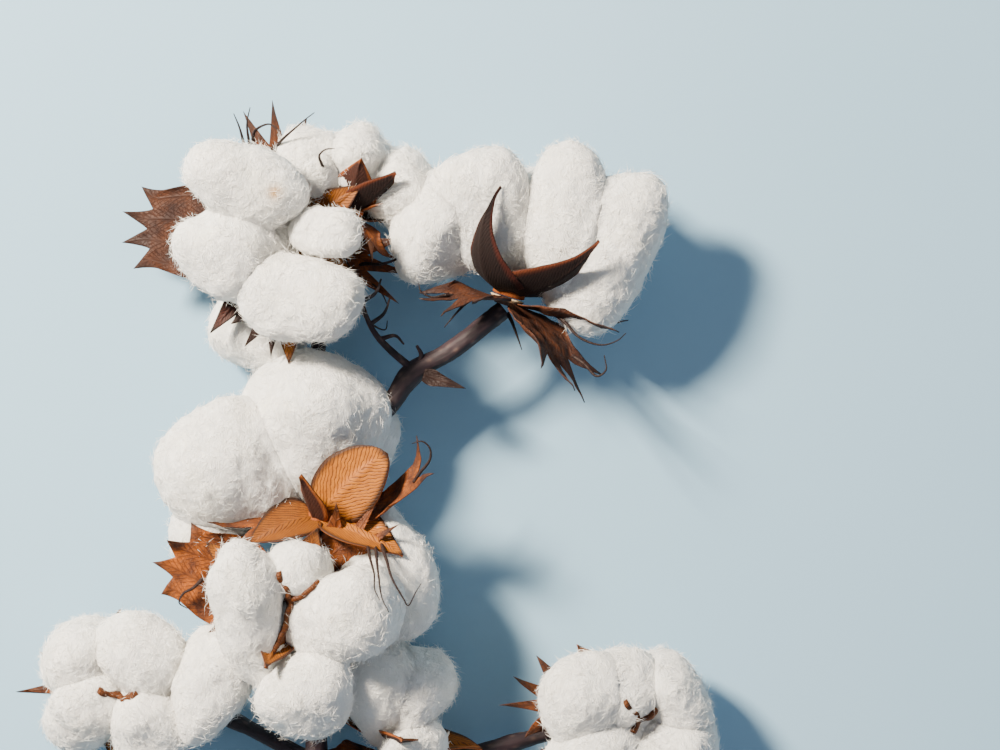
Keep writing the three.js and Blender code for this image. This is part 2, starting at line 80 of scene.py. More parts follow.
NODE_SWELL = 0.2
NODE_LENGTH = 5
STUB = dict(stops=[(36, 168, 29), (38, 172, 31), (36.5, 175.5, 33)], start=1.4, end=0.5)
BARK_SIDES = 40
BARK_STEP = 0.7
PATTERN_SHIFT = 37.0
RIDGE_SIZE = 1.5
RIDGE_HEIGHT = 0.3
WRINKLE_SIZE = 0.8
WRINKLE_HEIGHT = 0.1
LENTICEL_RADIUS = 0.55
LENTICEL_HEIGHT = 0.22
LENTICELS_PER_MM = 0.9


def smooth_line(stops, spacing):
    """Evenly spaced points on the smooth line through the stops."""
    stops = np.array(stops, float)
    ends = np.vstack([2 * stops[0] - stops[1], stops, 2 * stops[-1] - stops[-2]])
    fine = []
    for before, here, there, after in zip(ends, ends[1:], ends[2:], ends[3:]):
        first, second, third = (np.linalg.norm(b - a) ** 0.5 for a, b in
                                ((before, here), (here, there), (there, after)))
        leaving = (here - before) / first - (there - before) / (first + second) + (there - here) / second
        arriving = (there - here) / second - (after - here) / (second + third) + (after - there) / third
        t = np.linspace(0, 1, 40)[:, None]
        fine.append(here * (2 * t**3 - 3 * t**2 + 1) + there * (3 * t**2 - 2 * t**3)
                    + second * (leaving * (t**3 - 2 * t**2 + t) + arriving * (t**3 - t**2)))
    fine = np.vstack(fine)
    walked = np.concatenate([[0], np.cumsum(np.linalg.norm(np.diff(fine, axis=0), axis=1))])
    wanted = np.linspace(0, walked[-1], max(4, round(walked[-1] / spacing)))
    return np.stack([np.interp(wanted, walked, fine[:, side]) for side in range(3)], axis=1), wanted


def unit(vectors):
    return vectors / np.maximum(np.linalg.norm(vectors, axis=-1, keepdims=True), 1e-9)


def ripple(points, size):
    """Smooth noise from -1 to 1 at each point, with waves of about that size in millimetres."""
    return np.array([noise.noise(spot) for spot in (points / size).tolist()])


def tube(line, radii, sides):
    """A closed round skin along a line: its points and its faces."""
    ahead = unit(np.gradient(line, axis=0))
    right = np.zeros_like(ahead)
    across = np.array([0.0, 0.0, 1.0]) if abs(ahead[0][2]) < 0.9 else np.array([1.0, 0.0, 0.0])
    for ring, direction in enumerate(ahead):
        across = unit(across - direction * (across @ direction))
        right[ring] = across
    up = np.cross(ahead, right)
    angle = np.linspace(0, 2 * math.pi, sides, endpoint=False)
    way_out = right[:, None] * np.cos(angle)[None, :, None] + up[:, None] * np.sin(angle)[None, :, None]
    skin = line[:, None] + way_out * radii[:, :, None]
    points = np.vstack([skin.reshape(-1, 3), line[:1], line[-1:]])
    ring = np.arange(len(line) - 1)[:, None] * sides
    here = np.arange(sides)[None, :]
    beside = (here + 1) % sides
    quads = np.stack([ring + here, ring + beside, ring + sides + beside, ring + sides + here], axis=-1)
    first = len(line) * sides
    last = (len(line) - 1) * sides
    here, beside = here.ravel(), beside.ravel()
    caps = np.vstack([np.stack([beside, here, np.full(sides, first)], axis=1),
                      np.stack([last + here, last + beside, np.full(sides, first + 1)], axis=1)])
    return points, [quads.reshape(-1, 4), caps]


def join(parts):
    """Several sets of points and faces as one."""
    points = np.vstack([part_points for part_points, _ in parts])
    faces = []
    count = 0
    for part_points, part_faces in parts:
        faces += [face_set + count for face_set in part_faces]
        count += len(part_points)
    return points, faces


REST_HEIGHT = 0.3
REST_SOFTNESS = 0.5


def finished(name, skin, material, replaced=(), marks=None):
    """The skin as a mesh in the frame, riding on the plant, with its material, and with what marks
    its points part by part. What would dip under the floor lies flat on it."""
    points, faces = skin
    above = np.clip((points[:, 2] - REST_HEIGHT) / REST_SOFTNESS, -30, 30)
    resting = REST_HEIGHT + REST_SOFTNESS * np.log1p(np.exp(above))
    points = np.column_stack([points[:, :2], np.where(above < 20, resting, points[:, 2])])
    mesh = bpy.data.meshes.new(name)
    mesh.vertices.add(len(points))
    mesh.vertices.foreach_set("co", (points * MM + drawing_origin).astype(np.float32).ravel())
    corners = np.concatenate([face_set.ravel() for face_set in faces]).astype(np.int32)
    sizes = np.concatenate([np.full(len(face_set), face_set.shape[1]) for face_set in faces])
    starts = np.concatenate([[0], np.cumsum(sizes)[:-1]]).astype(np.int32)
    mesh.loops.add(len(corners))
    mesh.loops.foreach_set("vertex_index", corners)
    mesh.polygons.add(len(sizes))
    mesh.polygons.foreach_set("loop_start", starts)
    mesh.update(calc_edges=True)
    mesh.polygons.foreach_set("use_smooth", np.ones(len(sizes), bool))
    for mark, parts in (marks or {}).items():
        values = np.concatenate(parts)
        kind, field = ("FLOAT_VECTOR", "vector") if values.ndim == 2 else ("FLOAT", "value")
        layer = mesh.attributes.new(mark, kind, "POINT")
        layer.data.foreach_set(field, values.astype(np.float32).ravel())
    mesh.validate()
    piece = bpy.data.objects.new(name, mesh)
    bpy.context.scene.collection.objects.link(piece)
    mesh.materials.append(material)
    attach(piece, "root")
    if replaced:
        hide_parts(*replaced)


def linear(colour):
    """An sRGB hex colour as linear RGBA."""
    parts = [int(colour[place:place + 2], 16) / 255 for place in (1, 3, 5)]
    return (*[part / 12.92 if part <= 0.04045 else ((part + 0.055) / 1.055) ** 2.4 for part in parts], 1)


def add(tree, kind, settings=None, links=None):
    """Adds a shader node, with its settings, and with a value, an sRGB hex colour or another node's
    socket on each input."""
    node = tree.nodes.new(kind)
    for setting, value in (settings or {}).items():
        setattr(node, setting, value)
    for socket, value in (links or {}).items():
        if isinstance(value, bpy.types.NodeSocket):
            tree.links.new(value, node.inputs[socket])
        else:
            node.inputs[socket].default_value = linear(value) if isinstance(value, str) else value
    return node


def new_material(name):
    """An empty material, its node tree and its output."""
    material = bpy.data.materials.new(name)
    material.use_nodes = True
    material.node_tree.nodes.clear()
    return material, material.node_tree, add(material.node_tree, "ShaderNodeOutputMaterial")


def marked(tree, name, socket="Fac"):
    """What the mesh's points are marked with."""
    return add(tree, "ShaderNodeAttribute", {"attribute_name": name}).outputs[socket]


def clouds(tree, place, scale, detail):
    """Noise of about 0 to 1 at a place."""
    links = {"Vector": place, "Scale": scale, "Detail": detail}
    return add(tree, "ShaderNodeTexNoise", {}, links).outputs["Fac"]


def worked(tree, operation, *values):
    """A number worked out from others."""
    return add(tree, "ShaderNodeMath", {"operation": operation}, dict(enumerate(values))).outputs[0]


def ranged(tree, value, low, high, new_low=0, new_high=1):
    """A value moved from one range to another, and held inside it."""
    links = {"Value": value, "From Min": low, "From Max": high, "To Min": new_low, "To Max": new_high}
    return add(tree, "ShaderNodeMapRange", {}, links).outputs[0]


def mixed(tree, share, one, other, way="MIX"):
    """One colour with a share of another mixed in, or multiplied in."""
    settings = {"data_type": "RGBA", "blend_type": way}
    return add(tree, "ShaderNodeMix", settings, {0: share, 6: one, 7: other}).outputs[2]


def raised(tree, strength, height, pattern):
    """The relief that a pattern gives a surface, with its height in millimetres."""
    links = {"Strength": strength, "Distance": height * MM, "Height": pattern}
    return add(tree, "ShaderNodeBump", {}, links).outputs[0]


def surfaced(tree, output, links, through=0):
    """Ends a material with its surface, which may let a share of the light through."""
    shader = add(tree, "ShaderNodeBsdfPrincipled", {}, links).outputs[0]
    if through:
        lit_behind = add(tree, "ShaderNodeBsdfTranslucent", {}, {"Color": links["Base Color"]}).outputs[0]
        shader = add(tree, "ShaderNodeMixShader", {}, {0: through, 1: shader, 2: lit_behind}).outputs[0]
    tree.links.new(shader, output.inputs[0])


# Cotton bark is thin, finely ridged along the limb and dry, so it is dull but for the ridges'
# faint shine. Sun has weathered it from purple-brown to near black, with pale corky lenticels.
dry_bark, tree, output = new_material("weathered_cotton_bark")
grain = marked(tree, "grain", "Vector")
stretched = add(tree, "ShaderNodeVectorMath", {"operation": "MULTIPLY"}, {0: grain, 1: (1, 1, 0.12)})
streaks = clouds(tree, stretched.outputs[0], 1.3, 6)
patches = clouds(tree, grain, 0.14, 3)
bark_colour = mixed(tree, ranged(tree, streaks, 0.35, 0.7), "#10090e", "#2a1a20")
reddish = mixed(tree, ranged(tree, patches, 0.4, 0.68, 0, 0.75), bark_colour, "#28121c")
with_cork = mixed(tree, marked(tree, "cork"), reddish, "#5e4a42")
fissures = raised(tree, 0.8, 0.15, streaks)
surfaced(tree, output, {"Base Color": with_cork, "Roughness": 0.7, "Normal": fissures})


def bark_skin(limb, seed, sides=BARK_SIDES):
    """A limb with ridges, wrinkles and lenticels, and the marks that its bark's pattern needs."""
    line, walked = smooth_line(limb["stops"], BARK_STEP)
    length = walked[-1]
    swelling = np.ones(len(line))
    for node in limb.get("nodes", ()):
        swelling += NODE_SWELL * np.exp(-(((walked - node * length) / NODE_LENGTH) ** 2))
    radii = np.interp(walked, [0, length], [limb["start"], limb["end"]]) * swelling
    angle = np.linspace(0, 2 * math.pi, sides, endpoint=False)
    grain = np.stack([radii[:, None] * np.cos(angle), radii[:, None] * np.sin(angle),
                      np.repeat(walked[:, None], sides, axis=1)], axis=-1)
    flat = grain.reshape(-1, 3) + seed * PATTERN_SHIFT
    ridges = ripple(flat * (1, 1, 0.14), RIDGE_SIZE)
    wrinkles = ripple(flat * (1, 1, 0.5), WRINKLE_SIZE)
    cork = np.zeros(len(flat))
    dealt = np.random.default_rng(seed)
    for _ in range(round(LENTICELS_PER_MM * length)):
        place = dealt.uniform(0, length)
        turn = dealt.uniform(0, 2 * math.pi)
        radius = np.interp(place, walked, radii)
        middle = np.array([radius * math.cos(turn), radius * math.sin(turn), place])
        away = (flat - (middle + seed * PATTERN_SHIFT)) * (1, 1, 0.6)
        spot = np.exp(-(away**2).sum(axis=1) / LENTICEL_RADIUS**2)
        cork = np.maximum(cork, spot * dealt.uniform(0.2, 0.9))
    relief = RIDGE_HEIGHT * ridges + WRINKLE_HEIGHT * wrinkles + LENTICEL_HEIGHT * cork
    skin = tube(line, radii[:, None] + relief.reshape(len(line), sides) * (radii[:, None] / 3), sides)
    ends = np.array([[0, 0, 0], [0, 0, length]])
    return skin, np.vstack([flat, ends]), np.concatenate([cork, [0, 0]])


for seed, (name, limb) in enumerate(LIMBS.items(), 1):
    limb_parts = [bark_skin(limb, seed)]
    if name == "right_branch":
        limb_parts.append(bark_skin(STUB, seed + 20, 12))
    skins, grains, corks = zip(*limb_parts)
    finished(f"{name}_bark", join(skins), dry_bark, [name], {"grain": grains, "cork": corks})


# The stem's cut end: pale stringy wood round a soft white pith, cut square with shears. It is a
# thin round face set 0.1 mm proud of the bark's end.
CUT_RADIUS = 3.3
CUT_PROUD = 0.1
PITH_RADIUS = 0.9
cut_wood, tree, output = new_material("sheared_cotton_wood")
place = marked(tree, "grain", "Vector")
from_pith = add(tree, "ShaderNodeVectorMath", {"operation": "LENGTH"}, {0: place}).outputs["Value"]
rings = clouds(tree, place, 3, 5)
wood_colour = mixed(tree, rings, "#c7a878", "#8f6c44")
cut_colour = mixed(tree, ranged(tree, from_pith, PITH_RADIUS * 0.8, PITH_RADIUS), "#efe6d2", wood_colour)
torn = raised(tree, 0.7, 0.1, rings)
surfaced(tree, output, {"Base Color": cut_colour, "Roughness": 0.8, "Normal": torn})

cut_line = np.zeros((5, 3)) + (0, 0, STEM_HEIGHT)
cut_line[:, 1] = (0.3, 0, -CUT_PROUD, -CUT_PROUD - 0.002, -CUT_PROUD - 0.004)
cut_radii = np.array([1, 1, 0.97, 0.5, 0.2])[:, None] * np.full((5, 32), CUT_RADIUS)
cut_skin = tube(cut_line, cut_radii, 32)
cut_grain = cut_skin[0] - (0, 0, STEM_HEIGHT)
finished("main_stem_cut_face", cut_skin, cut_wood, (), {"grain": [cut_grain]})


# The burs: the dry fruit wall, split into valves. Each valve is a stiff ovate boat, drawn out to a
# point, dull and dark outside, smooth and orange-tan inside, with a dark margin and a low fin.
BOLLS = {
    "boll_a": dict(base=(-7, 214, 22), axis=(-0.1, 0.05, 1), neck=2.3),
    "boll_top": dict(base=(11.5, 219, 30), axis=(0.3, 0.9, 0.15), neck=2.3),
    "boll_d": dict(base=(67.5, 189.5, 30), axis=(0.3, 0.95, 0.05), neck=3.4),
    "boll_e": dict(base=(-7.7, 83, 30), axis=(0, 0, 1), neck=2.4),
    "boll_b": dict(base=(2.5, 112, 36), axis=(0.05, 0.75, 0.65), neck=2.4),
    "boll_f": dict(base=(-66, 54, 14), axis=(-0.4, 0, 0.9), neck=2.4),
    "boll_g": dict(base=(110, 41.6, 14), axis=(0.35, 0, 0.94), neck=2.6),
    "boll_h": dict(base=(26, 28, 20), axis=(0.25, 0.85, 0.3), neck=2.4),
}
# For each valve: its angle about the boll's axis, and its lean from that axis at its foot and at
# its tip, in degrees. Where they differ from the usual: its length, its width, how finely its tip
# is drawn out, how deep it is cupped, how far it rolls to one side and how dark it is (tint).
VALVES = {
    "boll_a": [dict(spin=32, lean=(55, 75), length=32, width=17), dict(spin=125, lean=(75, 95)),
               dict(spin=185, lean=(80, 100)), dict(spin=231, lean=(74, 84), length=43, width=12, tint=1),
               dict(spin=270, lean=(78, 80), length=44, width=17, tint=0.2),
               dict(spin=315, lean=(70, 90))],
    "boll_top": [dict(spin=262, lean=(42, 12), length=22, width=16, tint=0.5),
                 dict(spin=310, lean=(48, 30), length=24, width=16, tint=0.9),
                 dict(spin=30, lean=(55, 80), length=30), dict(spin=150, lean=(60, 80), length=30)],
    "boll_d": [dict(spin=232, lean=(88, -30), length=47, width=21, tip=2, tint=1),
               dict(spin=312, lean=(74, 26), length=43, width=25, tip=1.7, tint=0.9),
               dict(spin=175, lean=(60, 85)), dict(spin=20, lean=(70, 95)), dict(spin=95, lean=(50, 70))],
    "boll_e": [dict(spin=70, lean=(45, 60)), dict(spin=140, lean=(60, 85)), dict(spin=205, lean=(70, 90)),
               dict(spin=250, lean=(40, 12), length=36, width=15), dict(spin=330, lean=(75, 95))],
    "boll_b": [dict(spin=16, lean=(30, 50), length=33, width=16, tip=0.65, cup=0.12, roll=1, tint=0),
               dict(spin=225, lean=(15, 15), length=26, width=12),
               dict(spin=212, lean=(82, 100), length=26), dict(spin=333, lean=(88, 104), length=31)],
    "boll_f": [dict(spin=85, lean=(65, 80), length=27), dict(spin=178, lean=(75, 95), length=31),
               dict(spin=275, lean=(65, 80), length=27), dict(spin=0, lean=(70, 85), length=29)],
    "boll_g": [dict(spin=15, lean=(30, 15), length=27), dict(spin=130, lean=(65, 80)),
               dict(spin=240, lean=(65, 80)), dict(spin=330, lean=(75, 90))],
    "boll_h": [dict(spin=270, lean=(50, 60), length=30), dict(spin=180, lean=(65, 80), length=30),
               dict(spin=0, lean=(65, 85), length=30)],
}
VALVE_LENGTH = 37
VALVE_WIDTH = 19
VALVE_THICKNESS = 1.1
VALVE_TIP = 0.4
VALVE_POINT = 1.1
VALVE_CUP = 0.32
VALVE_RISE = 5.2
VALVE_ROWS = 34
VALVE_COLUMNS = 17
VALVE_CRUMPLE = 0.5
FIN_HEIGHT = 1.6
FIN_WIDTH = 0.07
KEEL_HEIGHT = 0.5
KEEL_WIDTH = 0.12
BLADE_STEP = 0.25
DOME_FOOT = 3.7
DOME_HEIGHT = 4
RIM = 2.4


def boll_ways(boll, spin):
    """The way up a boll's axis, and the way out from it at an angle about it."""
    up = unit(np.array(boll["axis"], float))
    right = unit(np.array([1.0, 0, 0]) - up * up[0])
    side = np.cross(up, right)
    return up, right * math.cos(math.radians(spin)) + side * math.sin(math.radians(spin))


def on_blade(boll, spin, lean, length, rise):
    """A function that places points on a blade whose midrib bends from one lean to another: by
    their distance aside of the rib, their distance along it and their height above it."""
    up, out = boll_ways(boll, spin)
    steps = np.arange(-5, length + 40, BLADE_STEP)
    angle = np.radians(np.interp(steps, [0, length], lean))
    middle = (angle[1:] + angle[:-1]) / 2
    rising = np.concatenate([[0], np.cumsum(np.cos(middle) * BLADE_STEP)])
    going = np.concatenate([[0], np.cumsum(np.sin(middle) * BLADE_STEP)])
    rising -= np.interp(0, steps, rising)
    going -= np.interp(0, steps, going)
    foot = np.array(boll["base"]) + up * rise + out * boll["neck"]
    across = np.cross(up, out)

    def place(aside, along, lift):
        turn = np.interp(along, steps, angle)
        height = np.interp(along, steps, rising) + lift * np.sin(turn)
        reach = np.interp(along, steps, going) - lift * np.cos(turn)
        return foot + height[..., None] * up + reach[..., None] * out + aside[..., None] * across

    return place


def two_skins(inner, outer):
    """A closed blade from the grid of points on its inner side and the one on its outer side."""
    rows, columns = inner.shape[:2]
    index = np.arange(rows * columns).reshape(rows, columns)
    other = index + rows * columns
    top = np.stack([index[:-1, :-1], index[:-1, 1:], index[1:, 1:], index[1:, :-1]], axis=-1).reshape(-1, 4)
    under = np.stack([other[:-1, :-1], other[1:, :-1], other[1:, 1:], other[:-1, 1:]], axis=-1).reshape(-1, 4)
    rim = np.concatenate([index[0, :-1], index[:-1, -1], index[-1, :0:-1], index[:0:-1, 0]])
    ahead = np.roll(rim, -1)
    edge = np.stack([ahead, rim, rim + rows * columns, ahead + rows * columns], axis=1)
    return np.vstack([inner.reshape(-1, 3), outer.reshape(-1, 3)]), [top, under, edge]


def valve_skin(boll, valve, seed):
    """One valve of a bur, with marks for its place on the blade, its inner side and its margin."""
    length = valve.get("length", VALVE_LENGTH)
    width = valve.get("width", VALVE_WIDTH)
    place = on_blade(boll, valve["spin"], valve["lean"], length, VALVE_RISE)
    t = np.linspace(0, 1, VALVE_ROWS)[:, None]
    v = np.linspace(-1, 1, VALVE_COLUMNS)[None, :]
    outline = np.sqrt(t + 0.05) * (1 - t) ** valve.get("tip", VALVE_POINT)
    half = width / 2 * outline / outline.max() + VALVE_TIP * (1 - 0.6 * t)
    aside = half * v
    along = length * t + 0 * v
    grid = np.stack([aside + seed * 50, along, 0 * aside], axis=-1).reshape(-1, 3)
    crumple = VALVE_CRUMPLE * ripple(grid, 7)
    cup = valve.get("cup", VALVE_CUP) * half * np.abs(v) ** 1.5
    cup = cup + crumple.reshape(aside.shape) * np.abs(v) + valve.get("roll", 0) * aside
    fin = FIN_HEIGHT * np.exp(-((v / FIN_WIDTH) ** 2)) * np.sin(math.pi * np.clip(1.15 * t, 0, 1)) ** 0.5
    skin = VALVE_THICKNESS / 2 * (1 - 0.55 * np.abs(v) ** 3)
    keel = KEEL_HEIGHT * np.exp(-((v / KEEL_WIDTH) ** 2))
    inner = place(aside, along, cup + skin + fin)
    outer = place(aside, along, cup - skin - keel)
    margin = np.maximum(np.abs(v) + 0 * t, t**3 + 0 * v)
    blade = np.stack([aside, along, margin], axis=-1).reshape(-1, 3)
    inside = np.repeat([1.0, 0.0], aside.size)
    return two_skins(inner, outer), np.vstack([blade] * 2), inside


def lathe(boll, profile, sides, wobble=0):
    """A round solid on a boll's axis, from heights above the end of the stalk and radii."""
    up, right = boll_ways(boll, 0)
    side = np.cross(up, right)
    heights, radii = np.array(profile, float).T
    angle = np.linspace(0, 2 * math.pi, sides, endpoint=False)
    waves = 1 + wobble * np.sin(5 * angle)[None, :] * (np.arange(len(heights)) / len(heights))[:, None]
    way_out = right * np.cos(angle)[:, None] + side * np.sin(angle)[:, None]
    base = np.array(boll["base"], float)
    skin = base + heights[:, None, None] * up + way_out[None] * (radii[:, None] * waves)[:, :, None]
    points, faces = tube(base + heights[:, None] * up, np.ones((len(heights), sides)), sides)
    points[:-2] = skin.reshape(-1, 3)
    return points, faces


# The fruit wall is a dry woody husk. Its outer side has weathered rough and dark. Its inner side
# still has the smooth lining of the chamber, with fine veins that run out from the rib, so it is
# brighter, warmer and a little glossy. Veins are drawn 2.2 mm apart.
VEIN_SPACING = 2.2
dry_husk, tree, output = new_material("dry_cotton_husk")
blade = marked(tree, "blade", "Vector")
split = add(tree, "ShaderNodeSeparateXYZ", {}, {0: blade})
inside = marked(tree, "inside")
from_rib = worked(tree, "ABSOLUTE", split.outputs["X"])
vein_run = worked(tree, "MULTIPLY_ADD", from_rib, -2.2, split.outputs["Y"])
vein_place = worked(tree, "MULTIPLY_ADD", clouds(tree, blade, 0.35, 3), 4.0, vein_run)
vein_wave = worked(tree, "SINE", worked(tree, "MULTIPLY", vein_place, 2 * math.pi / VEIN_SPACING))
veins = ranged(tree, vein_wave, 0.35, 1)
lining = mixed(tree, clouds(tree, blade, 0.5, 6), "#b06a10", "#7c400c")
veined = mixed(tree, worked(tree, "MULTIPLY", veins, 0.75), lining, "#38160a")
margin = ranged(tree, split.outputs["Z"], 0.74, 0.93, 0, 0.92)
edged = mixed(tree, margin, veined, "#1c0a05")
crust = clouds(tree, blade, 1.4, 8)
outer_edge = mixed(tree, margin, mixed(tree, crust, "#1c0c09", "#54291a"), "#a85a20")
husk_colour = mixed(tree, inside, outer_edge, edged)
husk_tinted = mixed(tree, marked(tree, "tint"), husk_colour, "#5c3a32", "MULTIPLY")
husk_gloss = ranged(tree, inside, 0, 1, 0.85, 0.62)
bumps = raised(tree, 0.7, 0.25, worked(tree, "MULTIPLY_ADD", veins, 0.6, crust))
surfaced(tree, output, {"Base Color": husk_tinted, "Roughness": husk_gloss, "Specular IOR Level": 0.3,
                        "Normal": bumps})

# The dry walls between a boll's chambers, which show as brown forked seams between its locks. Each
# is the line of its upper edge.
CHAMBER_WALLS = {
    "boll_f": [[(-74.3, 55.5, 45.4), (-71, 53.9, 44.4), (-67.9, 52.5, 42.6), (-63.5, 52.6, 47.4),
                (-60.5, 54.9, 46.6)]],
    "boll_g": [[(109.2, 52.2, 47), (111.7, 48.7, 46.8), (114, 44, 42.6), (112, 40.2, 41)],
               [(114, 44, 42.6), (117.6, 45.9, 41.2), (120.4, 48.7, 40.2)]],
    "boll_e": [[(-9.8, 98, 62.5), (-7.8, 92.3, 62.5), (-6.1, 87.4, 58.5), (-7.8, 80.9, 57.8),
                (-9.7, 74.5, 57), (-12.6, 68.9, 57.8), (-15, 64.4, 57.5)],
               [(-6.1, 87.4, 58.5), (-1, 90.5, 61.8), (4.2, 94.3, 61.5)]],
}
WALL_DEPTH = 16
WALL_THICKNESS = 3.2
WALL_EDGE = 0.45
WALL_STEP = 0.8
WALL_ROWS = 14
WALL_CRUMPLE = 1.1
WALL_RAG = 1.6
WALL_TINT = 0.8
DOME_TINT = 0.5


def wall_skin(stops, seed):
    """A thin upright wall along a line, with a ragged upper edge."""
    line, walked = smooth_line(stops, WALL_STEP)
    ahead = unit(np.gradient(line, axis=0))
    aside = unit(np.cross(ahead, [0, 0, 1]))
    down = np.linspace(0, 1, WALL_ROWS)
    place = np.stack(np.broadcast_arrays(walked[:, None], WALL_DEPTH * down[None, :], seed * 9.0), axis=-1)
    crumple = ripple(place.reshape(-1, 3), 5).reshape(place.shape[:2])
    ragged = WALL_RAG * ripple(place[:, 0], 3)
    middle = line[:, None] + aside[:, None] * (WALL_CRUMPLE * crumple)[..., None]
    middle[..., 2] += ragged[:, None] * (1 - down) - WALL_DEPTH * down
    thickness = WALL_THICKNESS * (WALL_EDGE + (1 - WALL_EDGE) * np.minimum(down * 5, 1))
    half = aside[:, None] * (thickness / 2)[None, :, None]
    blade = np.stack([place[..., 0], place[..., 1], np.full(crumple.shape, 0.5)], axis=-1).reshape(-1, 3)
    return two_skins(middle - half, middle + half), np.vstack([blade] * 2), np.ones(2 * len(blade))


dealt = np.random.default_rng(5)
for name, boll in BOLLS.items():
    neck = boll["neck"]
    profile = [(DOME_FOOT, 0.6), (DOME_FOOT, neck + 1.6), (DOME_FOOT + 0.4, neck + RIM),
               (DOME_FOOT + 1.6, neck + RIM), (DOME_FOOT + 3, neck + 1.3),
               (DOME_FOOT + DOME_HEIGHT, neck * 0.6)]
    dome = lathe(boll, profile, 30, 0.05)
    bur_parts = [(dome, dome[0], np.zeros(len(dome[0])), DOME_TINT)]
    for number, valve in enumerate(VALVES[name]):
        tint = valve.get("tint", dealt.uniform(0, 0.6))
        bur_parts.append((*valve_skin(boll, valve, number), tint))
    for number, stops in enumerate(CHAMBER_WALLS.get(name, [])):
        bur_parts.append((*wall_skin(stops, number), WALL_TINT))
    skins, blades, insides, tints = zip(*bur_parts)
    tints = [np.full(len(blade), tint) for blade, tint in zip(blades, tints)]
    finished(f"{name}_valves", join(skins), dry_husk, [f"{name}_bur"],
             {"blade": blades, "inside": insides, "tint": tints})


# The bracts: three big toothed leaves that wrapped the flower, dried to crisp brown paper. Each
# grows from the collar under its bur, and its long teeth have curled as they dried. As with the
# valves, each has its angle, its leans, its length and width and how dark it is (tint), and then
# its number of teeth, the length of the longest, and how far its shoulders drop.
BRACTS = {
    "boll_a": [dict(spin=176, lean=(95, 86), length=53, width=36, tooth=8, teeth=4, shoulder=0.12, tint=0.85),
               dict(spin=106, lean=(95, 88), length=35, width=30, tooth=13),
               dict(spin=335, lean=(92, 84), length=29, width=26, tooth=15),
               dict(spin=256, lean=(72, 70), length=35, width=26, tooth=9, tint=1)],
    "boll_top": [dict(spin=60, lean=(75, 100), length=20, width=18, tooth=12, teeth=2),
                 dict(spin=330, lean=(110, 130), length=14, width=14, tooth=8, teeth=2)],
    "boll_d": [dict(spin=225, lean=(85, 120), length=22, width=26, tooth=12, tint=0.8),
               dict(spin=324, lean=(108, 130), length=32, width=31, tooth=14, tint=0.75),
               dict(spin=350, lean=(88, 84), length=30, width=18, tooth=14, teeth=2, tint=0.8)],
    "boll_e": [dict(spin=155, lean=(80, 70), length=44, width=34, tooth=6, shoulder=0.2, tint=0),
               dict(spin=45, lean=(58, 80), length=37, width=26, tooth=14, tint=0.1)],
    "boll_b": [dict(spin=5, lean=(85, 25), length=40, width=12, tooth=15, teeth=2),
               dict(spin=190, lean=(80, 90), length=24, width=20, tooth=12, teeth=3)],
    "boll_f": [dict(spin=185, lean=(100, 92), length=30, teeth=3),
               dict(spin=320, lean=(100, 96), length=24, width=20, teeth=2)],
    "boll_g": [dict(spin=165, lean=(100, 78), length=34, tooth=14),
               dict(spin=215, lean=(100, 92), length=28, width=20, teeth=3)],
    "boll_h": [dict(spin=230, lean=(85, 100), teeth=3), dict(spin=20, lean=(85, 100), width=20, teeth=2)],
}
BRACT_LENGTH = 25
BRACT_WIDTH = 24
BRACT_TEETH = 4
TOOTH_LENGTH = 15
BRACT_THICKNESS = 0.45
BRACT_FOOT = 2.2
BRACT_RISE = 2
BRACT_CUP = 0.15
BRACT_RIM = 1.6
BRACT_ROOT = 0.4
BRACT_CRUMPLE = 1.3
BRACT_WRINKLE = 0.6
BRACT_ROWS = 22
TOOTH_CURL = 3
TOOTH_FAN = 0.9
TOOTH_TWIST = 1.5
BRACT_VALLEY = 0.18
BRACT_SHOULDER = 0.3
TOOTH_TAPER = 1.5
TOOTH_RAYS = np.array([0.0, 0.13, 0.27, 0.43, 0.62, 0.82])
RIB_HEIGHT = 0.35
RIB_WIDTH = 0.1


